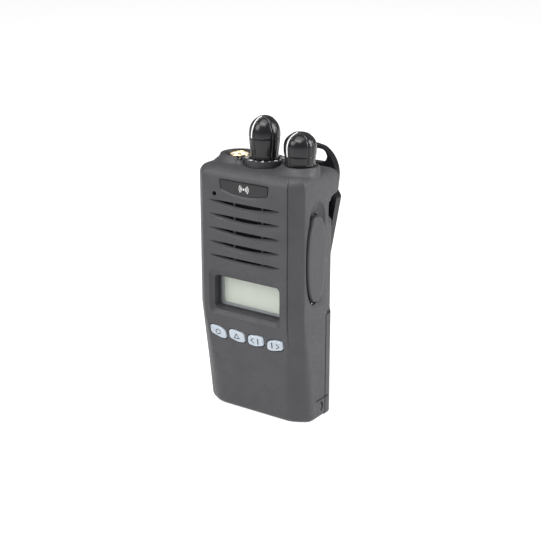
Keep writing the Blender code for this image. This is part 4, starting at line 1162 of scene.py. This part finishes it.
def build_spring(pivot):
    """Torsion spring round the clip pin, with a leg on the bracket and one on the arm."""
    coil, turns, steps, width = 0.0023, 3.75, 40, 0.0060
    curve = bpy.data.curves.new("spring_wire", "CURVE")
    curve.dimensions = "3D"
    curve.bevel_depth = 0.00035
    curve.bevel_resolution = 4
    curve.use_fill_caps = True
    leg_depth = FRONT + 0.0290 - pivot.y
    points = [(-width / 2, leg_depth, 0.0015), (-width / 2, -0.0060, 0.0020), (-width / 2, -0.0022, 0.0023)]
    last = round(turns * steps)
    for step in range(last + 1):
        angle = 2 * math.pi * step / steps + math.pi / 2
        points.append((-width / 2 + width * step / last, coil * math.cos(angle), coil * math.sin(angle)))
    points.append((width / 2, 0.0011, -0.0055))
    spline = curve.splines.new("POLY")
    spline.points.add(len(points) - 1)
    for point, place in zip(spline.points, points):
        point.co = (*place, 1.0)
    bm = curve_solid(curve)
    bmesh.ops.translate(bm, vec=pivot, verts=bm.verts)
    bmesh.ops.remove_doubles(bm, verts=bm.verts, dist=WELD)
    bmesh.ops.recalc_face_normals(bm, faces=bm.faces)
    add_piece("clip_coil", bm, STEEL, "radio", ("clip_spring",))


def build_base():
    refined("release_latch", "latch_slider", CLIP_GLOSS, 0.0002)
    refined("safety_catch", "catch_plate", STEEL, 0.0002)


# ---------------------------------------------------------------- stage, light and camera
TARGET = Vector((0.00974, -0.02248, 0.07405))
AZIMUTH, ELEVATION, DISTANCE = math.radians(34.62), math.radians(18.79), 0.56024
LENS_MM, SENSOR_MM = 82.35, 36.0
WHITE, FLOOR_GREY = (1.0, 1.0, 1.0, 1.0), (0.36, 0.36, 0.36, 1.0)
SOFTBOXES = (                    # name, azimuth, elevation, distance, size, power
    ("left_softbox", -34, 34, 1.0, (0.6, 0.5), 5.0),
    ("front_top_softbox", 5, 64, 1.0, (0.7, 0.4), 4.5),
    ("right_softbox", 118, 26, 1.0, (0.5, 0.7), 8.5),
    ("top_softbox", 0, 84, 1.2, (0.9, 0.9), 7.0),
)


def towards(azimuth, elevation):
    """Direction from the radio: azimuth 0 is straight out of its front, 90 to its right."""
    return Vector((math.sin(azimuth) * math.cos(elevation), -math.cos(azimuth) * math.cos(elevation),
                   math.sin(elevation)))


def aim(thing, spot):
    thing.rotation_euler = (spot - thing.location).to_track_quat("-Z", "Y").to_euler()


def build_camera():
    data = bpy.data.cameras.new("camera")
    data.lens = LENS_MM
    data.sensor_width = SENSOR_MM
    data.clip_start = 0.01
    camera = add_object("camera", data)
    camera.location = TARGET + towards(AZIMUTH, ELEVATION) * DISTANCE
    aim(camera, TARGET)
    bpy.context.scene.camera = camera


def add_softbox(name, azimuth, elevation, distance, size, power):
    data = bpy.data.lights.new(name, "AREA")
    data.shape = "RECTANGLE"
    data.size, data.size_y = size
    data.energy = power
    lamp = add_object(name, data)
    lamp.location = TARGET + towards(math.radians(azimuth), math.radians(elevation)) * distance
    aim(lamp, TARGET)


def build_stage():
    bm = bmesh.new()
    bmesh.ops.create_grid(bm, x_segments=8, y_segments=8, size=6.0)
    floor = add_object("floor", meshed(bm, "floor"))
    paint = bpy.data.materials.new("floor_paint")
    paint.use_nodes = True
    shader = paint.node_tree.nodes["Principled BSDF"]
    shader.inputs["Base Color"].default_value = FLOOR_GREY
    shader.inputs["Roughness"].default_value = 0.9
    shader.inputs["Emission Color"].default_value = WHITE
    shader.inputs["Emission Strength"].default_value = 0.84
    floor.data.materials.append(paint)
    world = bpy.data.worlds.new("studio")
    bpy.context.scene.world = world
    world.use_nodes = True
    world.node_tree.nodes["Background"].inputs["Color"].default_value = WHITE
    world.node_tree.nodes["Background"].inputs["Strength"].default_value = 0.22
    for softbox in SOFTBOXES:
        add_softbox(*softbox)
    bpy.context.scene.view_settings.view_transform = "Standard"


dress_nodes()
build_camera()
build_stage()
build_casing()
build_front()
build_knobs()
build_collar()
build_antenna_fittings()
build_cap()
build_side_buttons()
build_battery()
build_clip()
build_base()
